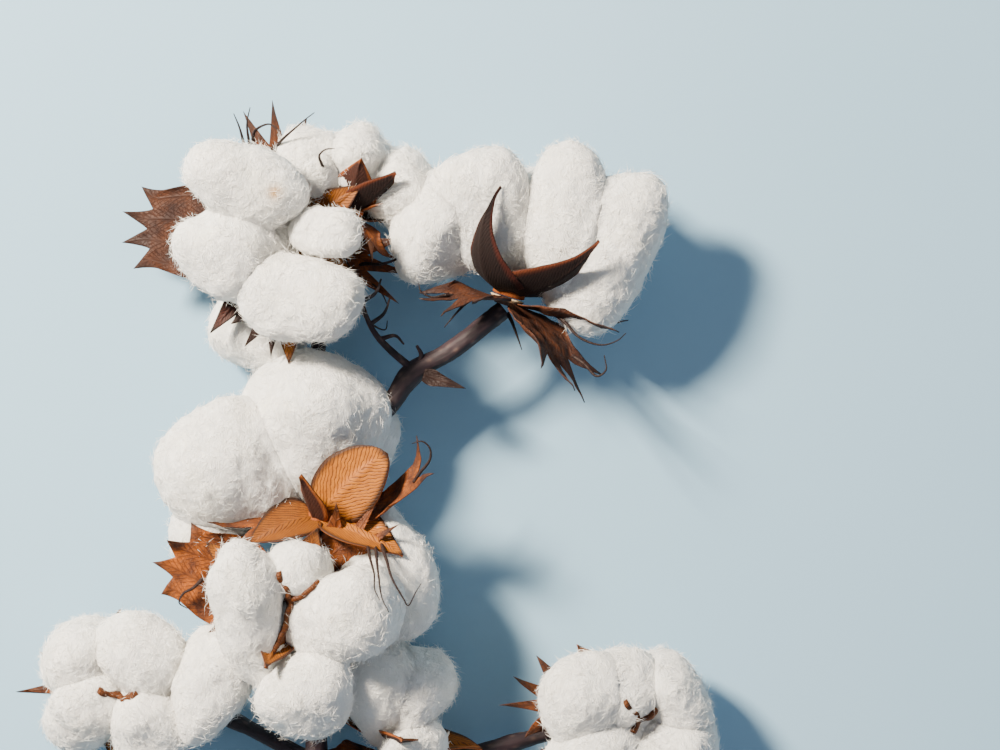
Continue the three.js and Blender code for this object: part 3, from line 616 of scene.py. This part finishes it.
def bract_skin(boll, leaf, seed):
    """One dry bract. Rays run out from its foot; those in the middle of a tooth run to its tip."""
    length = leaf.get("length", BRACT_LENGTH)
    width = leaf.get("width", BRACT_WIDTH)
    teeth = leaf.get("teeth", BRACT_TEETH)
    tooth = leaf.get("tooth", TOOTH_LENGTH)
    place = on_blade(boll, leaf["spin"], leaf["lean"], length, BRACT_RISE)
    offsets = np.concatenate([-TOOTH_RAYS[:0:-1], TOOTH_RAYS])
    centres = 1 - (2 * np.arange(teeth)[::-1] + 1) / teeth
    rays = [(-1.0, 0, -1.0)]
    for number, centre in enumerate(centres):
        rays += [(centre + offset / teeth, number, offset) for offset in offsets]
        rays += [(centre + 1 / teeth, number, 1.0)]
    v, number, offset = (np.array(column) for column in zip(*rays))
    middle = centres[number.astype(int)]
    curl_side = np.where((teeth - 1 - number) % 2 == 1, TOOTH_CURL, -TOOTH_CURL / 2)
    sharpness = (1 - np.abs(offset)) ** TOOTH_TAPER
    tooth_length = tooth * (1.1 - 0.35 * np.abs(middle))
    reach = tooth_length * sharpness
    valley = BRACT_VALLEY * tooth * np.abs(offset) ** 2
    root_width = BRACT_ROOT * width
    edge_x = root_width * v
    edge_y = length * (1 - leaf.get("shoulder", BRACT_SHOULDER) * v**2) - valley
    way_x = np.sin(TOOTH_FAN * middle)
    way_y = np.cos(TOOTH_FAN * middle)
    blade_length = np.hypot(edge_x, edge_y)
    s = np.linspace(0, 1, BRACT_ROWS)[:, None] * (1 + reach / blade_length)
    in_blade = np.minimum(s, 1)
    beyond = np.maximum(s - 1, 0) * blade_length
    bulge = width / 2 - (BRACT_FOOT + (root_width - BRACT_FOOT) * 0.62)
    belly = BRACT_FOOT + (root_width - BRACT_FOOT) * in_blade + bulge * np.sin(math.pi * in_blade)
    aside = v * belly + way_x * beyond
    along = edge_y * in_blade + way_y * beyond
    share = beyond / tooth_length
    grid = np.stack([aside + seed * 40, along, 0 * aside], axis=-1).reshape(-1, 3)
    crumple = BRACT_CRUMPLE * ripple(grid, 9) + BRACT_WRINKLE * ripple(grid, 3.5)
    crumple = crumple.reshape(aside.shape) * np.clip(along / 8, 0, 1)
    cup = BRACT_CUP * aside**2 / width + BRACT_RIM * np.abs(v) ** 4 * in_blade**2
    lift = cup + crumple + curl_side * share**2
    twist = TOOTH_TWIST * share**2 * offset
    ribs = np.exp(-((offset / RIB_WIDTH) ** 2)) * (1 - 0.5 * share)
    skin = BRACT_THICKNESS / 2 * (1 - 0.5 * share)
    inner = place(-aside, along, lift + twist + skin)
    outer = place(-aside, along, lift + twist - skin - RIB_HEIGHT * ribs)
    blade = np.stack([aside, along, share], axis=-1).reshape(-1, 3)
    fan = (np.abs(offset) / teeth * belly).ravel()
    return two_skins(inner, outer), np.vstack([blade] * 2), np.tile(ribs.ravel(), 2), np.tile(fan, 2)


# A dead bract is thin dry leaf: dull brown paper, orange where light falls through it, with
# darker raised ribs, a net of fine veins and blackened teeth.
SIDE_VEIN_SPACING = 2.6
dry_bract, tree, output = new_material("dried_bract_leaf")
blade = marked(tree, "blade", "Vector")
split = add(tree, "ShaderNodeSeparateXYZ", {}, {0: blade})
side_vein_run = worked(tree, "MULTIPLY_ADD", marked(tree, "fan"), -1.6, split.outputs["Y"])
side_vein_turn = worked(tree, "MULTIPLY", side_vein_run, 2 * math.pi / SIDE_VEIN_SPACING)
side_veins = ranged(tree, worked(tree, "SINE", side_vein_turn), 0.8, 1)
net = add(tree, "ShaderNodeTexVoronoi", {"feature": "DISTANCE_TO_EDGE"}, {"Vector": blade, "Scale": 0.75})
net_veins = ranged(tree, net.outputs["Distance"], 0, 0.09, 0.6, 0)
main_veins = worked(tree, "MAXIMUM", side_veins, marked(tree, "rib"))
all_veins = worked(tree, "MAXIMUM", main_veins, net_veins)
paper = mixed(tree, ranged(tree, clouds(tree, blade, 0.13, 5), 0.38, 0.62), "#b05c12", "#54260c")
dark_paper = mixed(tree, marked(tree, "tint"), paper, "#240d08")
veined = mixed(tree, worked(tree, "MULTIPLY", all_veins, 0.6), dark_paper, "#2e150c")
toothed = mixed(tree, worked(tree, "MULTIPLY", split.outputs["Z"], 0.85), veined, "#24120e")
paper_relief = raised(tree, 0.8, 0.3, all_veins)
surfaced(tree, output, {"Base Color": toothed, "Roughness": 0.68, "Normal": paper_relief}, 0.25)

# Long teeth that have dried to curls, by their way from the bract's edge to their tip.
CURLED_TEETH = {
    "boll_a": [
        [(14, 203.5, 25), (17.7, 204.6, 28), (23.5, 204.3, 33), (29.9, 206.2, 36), (34.1, 210.3, 38),
         (34.1, 213.4, 38), (31.7, 214.5, 37)],
        [(13, 200.5, 24), (16.8, 199.8, 26), (20.4, 197.6, 28), (24, 194.1, 29), (25.8, 190.3, 29)],
        [(11, 195, 24), (13.7, 191.6, 26), (17.3, 186.6, 27), (21.6, 182.4, 28), (25.2, 181.3, 28),
         (25.9, 184.5, 28)],
        [(-22, 247, 25), (-21.5, 250.8, 28), (-19.1, 252.8, 31), (-15.4, 253.7, 32), (-11.6, 250.9, 33)],
        [(-14, 245, 28), (-10.2, 247.8, 40), (-5.8, 251.1, 44), (-1.6, 254.5, 45), (1.2, 256.6, 45)],
        [(-24, 243, 25), (-25.2, 248.1, 28), (-26.3, 252.8, 31), (-28.2, 257.5, 32)],
        [(-22.5, 243, 25), (-23.1, 248.1, 29), (-23.4, 254.1, 33), (-22.2, 259.5, 34)],
    ],
    "boll_top": [[(4.5, 236, 40), (3.6, 238.9, 45), (3.1, 241.5, 48), (5.3, 243.4, 49), (8.5, 243.7, 49)]],
    "boll_d": [
        [(82, 187.5, 33), (86.9, 185.3, 36), (93.9, 178.2, 39), (101.5, 175.7, 40), (107.1, 177.4, 40),
         (109.9, 179.9, 40)],
        [(91, 172, 43), (95.2, 169, 46), (99.4, 164.8, 48), (102.5, 166.9, 50), (101.9, 172.1, 50)],
        [(68.5, 187, 31), (70, 183.9, 33), (72.1, 178.2, 35), (73.5, 174, 35)],
        [(51, 192.8, 42), (46.9, 192.9, 46), (42.1, 192.2, 48), (38.3, 194.3, 49), (37.6, 197.1, 49)],
        [(58, 193, 35), (54.5, 190.9, 38), (50.4, 186.7, 41), (46.3, 181.8, 42)],
    ],
    "boll_e": [
        [(22.5, 106, 46), (23.5, 102.5, 60), (24.6, 97.3, 70), (26, 89.9, 74.5), (28.3, 85.1, 74.5)],
        [(24.5, 106.5, 46), (27, 101.5, 60), (29.3, 95.8, 69), (33.3, 89.1, 71), (34.6, 87, 71),
         (37.3, 91.7, 70), (39, 94.4, 69)],
        [(19.5, 107, 46), (21.5, 102, 62), (23.2, 97.5, 71), (23.6, 92.7, 75), (25.3, 89.3, 75.5)],
        [(-38, 94, 42), (-41.3, 90.9, 44), (-44.6, 89, 45), (-45.9, 85.9, 45), (-43.2, 83.8, 44)],
    ],
    "boll_b": [[(36, 128, 48), (37.7, 130.9, 50), (41.6, 136, 53), (41.6, 140, 55), (38.9, 142.4, 56),
                (35.5, 141.6, 56)]],
}
CURL_RADIUS = 0.75
CURL_SIDES = 8


def curl_skin(stops):
    """One curled tooth, which tapers to a point, with the marks of a bract."""
    line, walked = smooth_line(stops, 0.6)
    share = walked / walked[-1]
    skin = tube(line, (CURL_RADIUS * (1 - 0.8 * share))[:, None] * np.ones(CURL_SIDES), CURL_SIDES)
    along = np.concatenate([np.repeat(walked, CURL_SIDES), [0, walked[-1]]])
    blade = np.stack([0 * along, along, along / walked[-1]], axis=1)
    return skin, blade, np.zeros(len(blade)), np.zeros(len(blade))


dealt = np.random.default_rng(8)
for name, boll in BOLLS.items():
    leaf_parts = []
    for number, leaf in enumerate(BRACTS[name]):
        tint = leaf.get("tint", dealt.uniform(0.1, 0.7))
        leaf_parts.append((*bract_skin(boll, leaf, number + len(name)), tint))
    leaf_parts += [(*curl_skin(stops), 1) for stops in CURLED_TEETH.get(name, [])]
    skins, blades, ribs, fans, tints = zip(*leaf_parts)
    tints = [np.full(len(rib), tint) for rib, tint in zip(ribs, tints)]
    finished(f"{name}_bract_leaves", join(skins), dry_bract, [f"{name}_bracts"],
             {"blade": blades, "rib": ribs, "fan": fans, "tint": tints})


# The collar: what is left of the flower's calyx, a short corky cup with five low waves round the
# top of the stalk. Its upper rim has bleached to cream.
COLLAR_LOW = 0.5
COLLAR_HIGH = 3.2
COLLAR_SIDES = 40
bleached_calyx, tree, output = new_material("bleached_calyx_cork")
place = add(tree, "ShaderNodeTexCoord").outputs["Object"]
cork_noise = clouds(tree, place, 900, 6)
calyx_colour = mixed(tree, marked(tree, "rimmed"), "#4a2e22", "#e9d3ac")
mottled = mixed(tree, cork_noise, calyx_colour, "#9c7a62", "MULTIPLY")
pitted = raised(tree, 0.8, 0.2, cork_noise)
surfaced(tree, output, {"Base Color": mottled, "Roughness": 0.85, "Normal": pitted})
for name, boll in BOLLS.items():
    neck = boll["neck"]
    profile = [(COLLAR_LOW, 0.6), (COLLAR_LOW, neck + 0.6), (COLLAR_LOW + 0.5, neck + 1),
               (1.9, neck + 1.6), (2.7, neck + RIM), (COLLAR_HIGH, neck + RIM + 0.3),
               (COLLAR_HIGH + 0.1, neck + RIM - 0.3), (COLLAR_HIGH, 0.6)]
    collar = lathe(boll, profile, COLLAR_SIDES, 0.08)
    rimmed = [np.repeat([0, 0, 0, 0.1, 0.5, 1, 1, 0.5], COLLAR_SIDES), [0, 0]]
    finished(f"{name}_collar", collar, bleached_calyx, (), {"rimmed": rimmed})


# The withered shoot in the fork of the right branch, and the small dead leaf under it. Both have
# shrunk to brown curls that still hang on.
SHOOT = [
    dict(stops=[(34, 168, 29), (27, 174, 31), (21, 181, 33), (17, 191, 34), (16, 198, 35)],
         start=1.5, end=0.5),
    dict(stops=[(20, 183, 33), (25, 187, 34), (27, 192, 36)], start=0.9, end=0.3),
    dict(stops=[(17, 191, 34), (22, 194, 36), (24, 199, 35)], start=0.9, end=0.3),
    dict(stops=[(24, 178, 32), (29, 179, 34), (32, 176, 36)], start=0.9, end=0.3),
]
shoot_parts = [bark_skin(twig, 40 + number, 14) for number, twig in enumerate(SHOOT)]
skins, grains, corks = zip(*shoot_parts)
finished("withered_shoot_curls", join(skins), dry_bark, ["withered_shoot"],
         {"grain": grains, "cork": corks})
fork = dict(base=(36.5, 166, 30), axis=(0, 0, 1), neck=2.4)
fork_leaf = dict(spin=-18, lean=(90, 75), length=10, width=6, teeth=1, tooth=5)
leaf_skin, blade, rib, fan = bract_skin(fork, fork_leaf, 3)
finished("dead_leaf_blade", leaf_skin, dry_bract, ["dead_leaf"],
         {"blade": [blade], "rib": [rib], "fan": [fan], "tint": [np.ones(len(rib))]})


# The lint: each lock is the fluffed seed-hair of one chamber of the boll, some 30 mm across, held
# by its thin end in the bur. It bulges softly over the seeds inside it.
LOCKS = {
    "boll_a": [dict(root=(-3, 225, 42), tip=(-42, 238, 54), width=29, depth=29, taper=0.05),
               dict(root=(-8, 204, 38), tip=(-47, 210, 52), width=29, depth=30, taper=0.05),
               dict(root=(-26, 195, 40), tip=(18, 188, 54), width=29, depth=30, taper=0.1),
               dict(root=(-6, 215.5, 43), tip=(17, 214, 55), width=16, depth=18, taper=0.15),
               dict(root=(-11, 207, 22), tip=(-27, 166, 13), width=29, depth=23)],
    "boll_top": [dict(root=(9, 226, 28), tip=(-6, 252, 32), width=19, depth=20),
                 dict(root=(13, 226, 28), tip=(15, 254, 32), width=20, depth=22),
                 dict(root=(6, 226, 30), tip=(-1, 240, 42), width=12, depth=12),
                 dict(root=(17, 226, 26), tip=(42, 236, 30), width=24, depth=25),
                 dict(root=(12, 226, 22), tip=(20, 246, 4), width=32, depth=26)],
    "boll_d": [dict(root=(86, 190, 27), tip=(90, 245, 34), width=34, depth=32, taper=0.15),
               dict(root=(90, 183, 28), tip=(117, 234, 36), width=30, depth=32, taper=0),
               dict(root=(68, 200, 30), tip=(55, 245, 36), width=30, depth=30),
               dict(root=(60, 210, 28), tip=(28, 222, 32), width=37, depth=32, taper=0.1),
               dict(root=(74, 198, 22), tip=(82, 236, 4), width=50, depth=30)],
    "boll_e": [dict(root=(-18, 62, 42), tip=(-24, 107, 62), width=25, depth=29, taper=0),
               dict(root=(-5, 90, 40), tip=(-2, 104, 64), width=18, depth=18),
               dict(root=(-7, 76, 40), tip=(31, 87, 62), width=31, depth=33, taper=0.1),
               dict(root=(-4, 61, 34), tip=(1, 50, 62), width=35, depth=28, taper=0.1),
               dict(root=(-28, 78, 32), tip=(-43, 38, 40), width=28, depth=32, taper=0)],
    "boll_b": [dict(root=(1, 120, 25), tip=(1, 172, 31), width=49, depth=38, taper=0.15),
               dict(root=(-6, 118, 28), tip=(-50, 146, 38), width=42, depth=38, taper=0.15),
               dict(root=(-20, 114, 26), tip=(-50, 108, 30), width=22, depth=24),
               dict(root=(18, 120, 28), tip=(31, 68, 32), width=35, depth=34, taper=0.05),
               dict(root=(6, 124, 24), tip=(14, 158, 10), width=36, depth=26)],
    "boll_f": [dict(tip=(-93, 74, 26), width=28, depth=34), dict(tip=(-52, 77, 46), width=29, depth=28),
               dict(tip=(-92, 36, 22), width=26, depth=34), dict(tip=(-50, 34, 44), width=26, depth=27),
               dict(tip=(-85, 46, 46), width=21, depth=22)],
    "boll_g": [dict(tip=(84, 58, 44), width=30, depth=28), dict(tip=(106, 66, 40), width=26, depth=27),
               dict(tip=(137, 58, 26), width=26, depth=36), dict(tip=(140, 28, 24), width=26, depth=36),
               dict(tip=(90, 22, 42), width=29, depth=28), dict(tip=(118, 14, 40), width=25, depth=24)],
    "boll_h": [dict(root=(26, 34, 24), tip=(20, 74, 32), width=31, depth=34),
               dict(root=(28, 34, 24), tip=(40, 66, 30), width=26, depth=30),
               dict(root=(28, 34, 26), tip=(40, 28, 38), width=25, depth=26),
               dict(root=(28, 40, 18), tip=(32, 66, 6), width=34, depth=24)],
}
# The lump that joins the locks, where it doesn't lie on the boll's axis.
CORES = {
    "boll_e": dict(root=(-7.7, 76, 40), tip=(-7.7, 76, 46)),
    "boll_b": dict(root=(2, 124, 30), tip=(2, 138, 30)),
}
HEART = 10
CORE_LENGTH = 12
CORE_WIDTH = 15
LOCK_TAPER = 0.3
LOCK_SWELL = 1.04
LINT_LUMP = 0.055
LINT_EDGE = 1.7
PUFF_SIZE = 15
PUFF_HEIGHT = 1.6
TUFT_SIZE = 5
TUFT_HEIGHT = 0.5
WISP_SIZE = 2.2
WISP_HEIGHT = 0.35
CREASE_FILL = 4
FLOOR_CLEARANCE = 0.3


def ball(frequency):
    """A unit sphere of even triangles."""
    made = bmesh.new()
    bmesh.ops.create_icosphere(made, subdivisions=1, radius=1)
    bmesh.ops.subdivide_edges(made, edges=made.edges[:], cuts=frequency - 1, use_grid_fill=True)
    bmesh.ops.triangulate(made, faces=made.faces[:])
    made.verts.ensure_lookup_table()
    points = unit(np.array([corner.co[:] for corner in made.verts]))
    faces = np.array([[corner.index for corner in face.verts] for face in made.faces])
    made.free()
    return points, faces


def lock_frame(lock):
    """A lock's centre, its three directions and its half sizes."""
    root = np.array(lock["root"], float)
    along = np.array(lock["tip"], float) - root
    half = np.linalg.norm(along) / 2
    centre = root + along / 2
    along = along / (2 * half)
    across = np.cross([0, 0, 1], along)
    if np.linalg.norm(across) < 0.2:
        across = np.array([1.0, 0, 0])
    across = unit(across)
    ways = np.array([across, np.cross(along, across), along])
    return centre, ways, np.array([lock["width"] / 2, lock["depth"] / 2, half])


def face_ways(points, faces):
    """The way out of each triangle, as long as twice its area."""
    a, b, c = points[faces[:, 0]], points[faces[:, 1]], points[faces[:, 2]]
    return np.cross(b - a, c - a)


def point_ways(points, faces):
    """The way out of the skin at each point."""
    total = np.zeros_like(points)
    for corner in range(3):
        np.add.at(total, faces[:, corner], face_ways(points, faces))
    return unit(total)


def outside(points, lock):
    """About how far each point stands outside a lock, in millimetres."""
    centre, ways, sizes = lock_frame(lock)
    local = (points - centre) @ ways.T / sizes
    fat = np.maximum(LOCK_SWELL * (1 + lock["taper"] * np.clip(local[:, 2], -1, 1)), 0.2)
    local[:, :2] /= fat[:, None]
    share = np.maximum(np.linalg.norm(local, axis=1), 0.05)
    return (1 - 1 / share) * np.linalg.norm(points - centre, axis=1)


def lock_skin(lock, others, balls={}):
    """One lock with its puffs over the seeds and its finer tufts. Where it meets another, fibres
    from both fill the crease."""
    centre, ways, sizes = lock_frame(lock)
    frequency = int(np.clip(round(sizes.mean() * 2 / LINT_EDGE), 10, 26))
    if frequency not in balls:
        balls[frequency] = ball(frequency)
    sphere, faces = balls[frequency]
    wave = np.sin(sphere * (3.1, 3.7, 4.3) + lock["tip"]).sum(axis=1)
    lump = 1 + LINT_LUMP * wave
    fat = LOCK_SWELL * (1 + lock["taper"] * sphere[:, 2]) * lump
    local = sphere * sizes * np.stack([fat, fat, lump], axis=1)
    points = centre + local @ ways
    ways_out = point_ways(points, faces)
    puffs = ripple(points, PUFF_SIZE)
    tufts = ripple(points + 90, TUFT_SIZE)
    wisps = ripple(points + 40, WISP_SIZE)
    nearest = np.min([outside(points, other) for other in others], axis=0)
    filled = np.clip(CREASE_FILL - nearest, 0, CREASE_FILL) ** 2 / (4 * CREASE_FILL)
    height = PUFF_HEIGHT * puffs + TUFT_HEIGHT * tufts + WISP_HEIGHT * wisps + filled
    points = points + ways_out * height[:, None]
    points[:, 2] = np.maximum(points[:, 2], FLOOR_CLEARANCE + 0.3 * wisps)
    return points, faces


# Cotton fibre is clear cellulose, so a fluffed mass of it scatters all light: bright, warm white,
# soft at its shadow edges, with a faint sheen at grazing angles. Close to the husk it has yellowed.
cotton, tree, output = new_material("fluffed_cotton_lint")
place = add(tree, "ShaderNodeTexCoord").outputs["Object"]
in_mm = add(tree, "ShaderNodeVectorMath", {"operation": "SCALE"}, {0: place, "Scale": 1 / MM}).outputs[0]
swirl = add(tree, "ShaderNodeTexNoise", {}, {"Vector": in_mm, "Scale": 0.16, "Detail": 2})
swirled = add(tree, "ShaderNodeVectorMath", {"operation": "MULTIPLY_ADD"},
              {0: swirl.outputs["Color"], 1: (9, 9, 9), 2: in_mm})
hair_run = add(tree, "ShaderNodeVectorMath", {"operation": "MULTIPLY"},
               {0: swirled.outputs[0], 1: (1, 0.25, 1)})
hairs = add(tree, "ShaderNodeTexNoise", {},
            {"Vector": hair_run.outputs[0], "Scale": 1.1, "Detail": 6, "Roughness": 0.7})
stain_share = ranged(tree, clouds(tree, in_mm, 0.07, 3), 0.5, 0.75, 0, 0.35)
lint_colour = mixed(tree, stain_share, "#fbf9f4", "#efe7d6")
rooted = mixed(tree, marked(tree, "yellowed"), lint_colour, "#b98a45")
fluff = raised(tree, 1.0, 1.8, hairs.outputs["Fac"])
surfaced(tree, output,
         {"Base Color": rooted, "Roughness": 0.95, "Specular IOR Level": 0.15,
          "Subsurface Weight": 0.35, "Subsurface Radius": (1, 0.95, 0.88), "Subsurface Scale": 2 * MM,
          "Sheen Weight": 0.25, "Sheen Roughness": 0.6, "Normal": fluff})

# The loose fibres round each lock. They are drawn 0.15 mm thick, which is coarser than life,
# because fibres of 0.02 mm are too fine to show.
LOOSE_HAIRS = 5700
HAIR_LENGTH = (2.5, 9)
HAIR_RADIUS = 0.075
HAIR_POINTS = 3
HAIR_SWIRL = 9
HAIR_STRAY = 0.2
HAIR_LIFT = 3.4
HAIR_SWAY = 0.9
HAIR_HUG = 34
HAIR_SINK = 0.25
loose_fibre, tree, output = new_material("loose_cotton_fibre")
surfaced(tree, output, {"Base Color": "#fffdf8", "Roughness": 0.7, "Specular IOR Level": 0.2,
                        "Sheen Weight": 0.2})
# The noise's vectors start from the clock unless they are seeded.
noise.seed_set(5)


def hair_skins(roots, ways_out, dealt):
    """Loose hairs as slim three-sided tapers that sweep over the lint and lift at their tips."""
    count = len(roots)
    swirl = np.array([noise.noise_vector(spot) for spot in (roots / HAIR_SWIRL).tolist()])
    run = unit(np.cross(ways_out, swirl + dealt.normal(0, HAIR_STRAY, (count, 3))))
    aside = np.cross(ways_out, run)
    length = dealt.uniform(*HAIR_LENGTH, count)[:, None, None]
    t = np.linspace(0, 1, HAIR_POINTS)[None, :, None]
    lift = (dealt.beta(1.1, 2.2, count) * HAIR_LIFT)[:, None, None]
    sway = dealt.normal(0, HAIR_SWAY, count)[:, None, None]
    phase = dealt.uniform(0, 6.3, count)[:, None, None]
    hug = length**2 / HAIR_HUG
    line = (roots[:, None] + run[:, None] * length * t * (1 - 0.15 * t)
            + aside[:, None] * sway * np.sin(phase + 4 * t)
            + ways_out[:, None] * (lift * t**1.5 - hug * t**2 - HAIR_SINK + 2 * HAIR_SINK * t))
    line[:, :, 2] = np.maximum(line[:, :, 2], FLOOR_CLEARANCE)
    angles = np.arange(3) * 2 * math.pi / 3
    ring = (aside[:, None, None] * np.cos(angles)[None, None, :, None]
            + ways_out[:, None, None] * np.sin(angles)[None, None, :, None])
    radius = HAIR_RADIUS * np.array([1, 0.8])[None, :, None, None]
    skin = (line[:, :-1, None] + ring * radius).reshape(count, -1, 3)
    points = np.concatenate([skin, line[:, -1:]], axis=1)
    quads = [[0, 1, 4, 3], [1, 2, 5, 4], [2, 0, 3, 5]]
    triangles = [[3, 4, 6], [4, 5, 6], [5, 3, 6], [2, 1, 0]]
    start = (np.arange(count) * 7)[:, None, None]
    return points.reshape(-1, 3), [(start + np.array(quads)).reshape(-1, 4),
                                   (start + np.array(triangles)).reshape(-1, 3)]


# A pale yellow stain on the front of one lock.
STAINS = {"boll_a": [(-11.3, 227.7, 62)]}
STAIN_RADIUS = 2.4
HUSK_HEIGHT = 6
YELLOWED_REACH = 15
LOWEST_HAIR = 2
HIDDEN_DEPTH = 0.3
dealt = np.random.default_rng(11)
for name, boll in BOLLS.items():
    up, _ = boll_ways(boll, 0)
    heart = np.array(boll["base"]) + up * HEART
    core = dict(root=heart, tip=heart + up * CORE_LENGTH, width=CORE_WIDTH, depth=CORE_WIDTH, taper=0)
    core.update(CORES.get(name, {}))
    locks = [core] + [{"root": heart, "taper": LOCK_TAPER, **lock} for lock in LOCKS[name]]
    skins = [lock_skin(lock, [other for other in locks if other is not lock]) for lock in locks]
    lint = join([(points, [faces]) for points, faces in skins])
    from_husk = np.linalg.norm(lint[0] - (np.array(boll["base"]) + up * HUSK_HEIGHT), axis=1)
    yellowed = np.clip(1 - from_husk / YELLOWED_REACH, 0, 1) ** 1.5 * 0.8
    for spot in STAINS.get(name, []):
        from_stain = np.linalg.norm((lint[0] - spot) * (1, 1, 0.2), axis=1)
        yellowed = np.maximum(yellowed, np.exp(-((from_stain / STAIN_RADIUS) ** 2)))
    finished(f"{name}_locks", lint, cotton, [f"{name}_lint"], {"yellowed": [yellowed]})
    faces = np.vstack(lint[1])
    ways = face_ways(lint[0], faces)
    areas = np.linalg.norm(ways, axis=1)
    centres = lint[0][faces].mean(axis=1)
    areas[centres[:, 2] < LOWEST_HAIR] = 0
    owner = np.repeat(np.arange(len(skins)), [len(skin_faces) for _, skin_faces in skins])
    for number, lock in enumerate(locks):
        hidden = (outside(centres, lock) < HIDDEN_DEPTH) & (owner != number)
        areas[hidden] = 0
    chosen = dealt.choice(len(faces), LOOSE_HAIRS, p=areas / areas.sum())
    spread = dealt.dirichlet((1, 1, 1), LOOSE_HAIRS)
    roots = (lint[0][faces[chosen]] * spread[:, :, None]).sum(axis=1)
    hairs = hair_skins(roots, unit(ways[chosen]), dealt)
    finished(f"{name}_loose_fibres", hairs, loose_fibre)


# The floor is a plain pale blue-grey sheet, so that the white lint stands out from it.
FLOOR_SIZE = 4
floor_paint, tree, output = new_material("matt_floor_sheet")
speckle = add(tree, "ShaderNodeTexNoise", {}, {"Scale": 40, "Detail": 4})
floor_colour = mixed(tree, speckle.outputs["Fac"], "#8bb0ca", "#91b5ce")
surfaced(tree, output, {"Base Color": floor_colour, "Roughness": 0.9})
floor_mesh = bpy.data.meshes.new("floor")
edge = FLOOR_SIZE / 2
floor_mesh.from_pydata([(-edge, -edge, 0), (edge, -edge, 0), (edge, edge, 0), (-edge, edge, 0)],
                       [], [(0, 1, 2, 3)])
floor = bpy.data.objects.new("floor", floor_mesh)
bpy.context.scene.collection.objects.link(floor)
floor_mesh.materials.append(floor_paint)


# The light: a hard warm key from the upper left, a weak cool fill from the lower right and a pale
# surround, so that the shaded sides of the bolls turn bluish.
LIGHTS = {
    "key": dict(place=(-0.7, 0.62, 0.85), power=82, size=0.22, colour="#fff1dc"),
    "fill": dict(place=(0.8, -0.5, 0.6), power=2, size=0.9, colour="#cfe2ff"),
}
for name, light in LIGHTS.items():
    lamp = bpy.data.lights.new(name, "AREA")
    lamp.energy = light["power"]
    lamp.size = light["size"]
    lamp.color = linear(light["colour"])[:3]
    holder = bpy.data.objects.new(name, lamp)
    holder.location = light["place"]
    aim = np.array([0, 0, 0.03]) - np.array(light["place"])
    holder.rotation_mode = "QUATERNION"
    holder.rotation_quaternion = Vector(aim).to_track_quat("-Z", "Y")
    bpy.context.scene.collection.objects.link(holder)
surround = bpy.data.worlds.new("pale_surround")
surround.use_nodes = True
surround.node_tree.nodes["Background"].inputs["Color"].default_value = linear("#dfe8f2")
surround.node_tree.nodes["Background"].inputs["Strength"].default_value = 0.38
bpy.context.scene.world = surround


# The camera looks straight down on the branch, as the photograph looks at it from one side. The
# middle of the picture is 65.8 mm right of the stem and 165.2 mm up it.
LOOK_AT = (65.8, 165.2, 0)
CAMERA_HEIGHT = 1000
FIELD_WIDTH = 350
FIELD_HEIGHT_ABOVE_FLOOR = 40
SENSOR_WIDTH = 36
camera_data = bpy.data.cameras.new("camera")
camera_data.sensor_width = SENSOR_WIDTH
camera_data.lens = SENSOR_WIDTH * (CAMERA_HEIGHT - FIELD_HEIGHT_ABOVE_FLOOR) / FIELD_WIDTH
camera = bpy.data.objects.new("camera", camera_data)
camera.location = (np.array(LOOK_AT) + (0, 0, CAMERA_HEIGHT)) * MM + drawing_origin
bpy.context.scene.collection.objects.link(camera)
bpy.context.scene.camera = camera
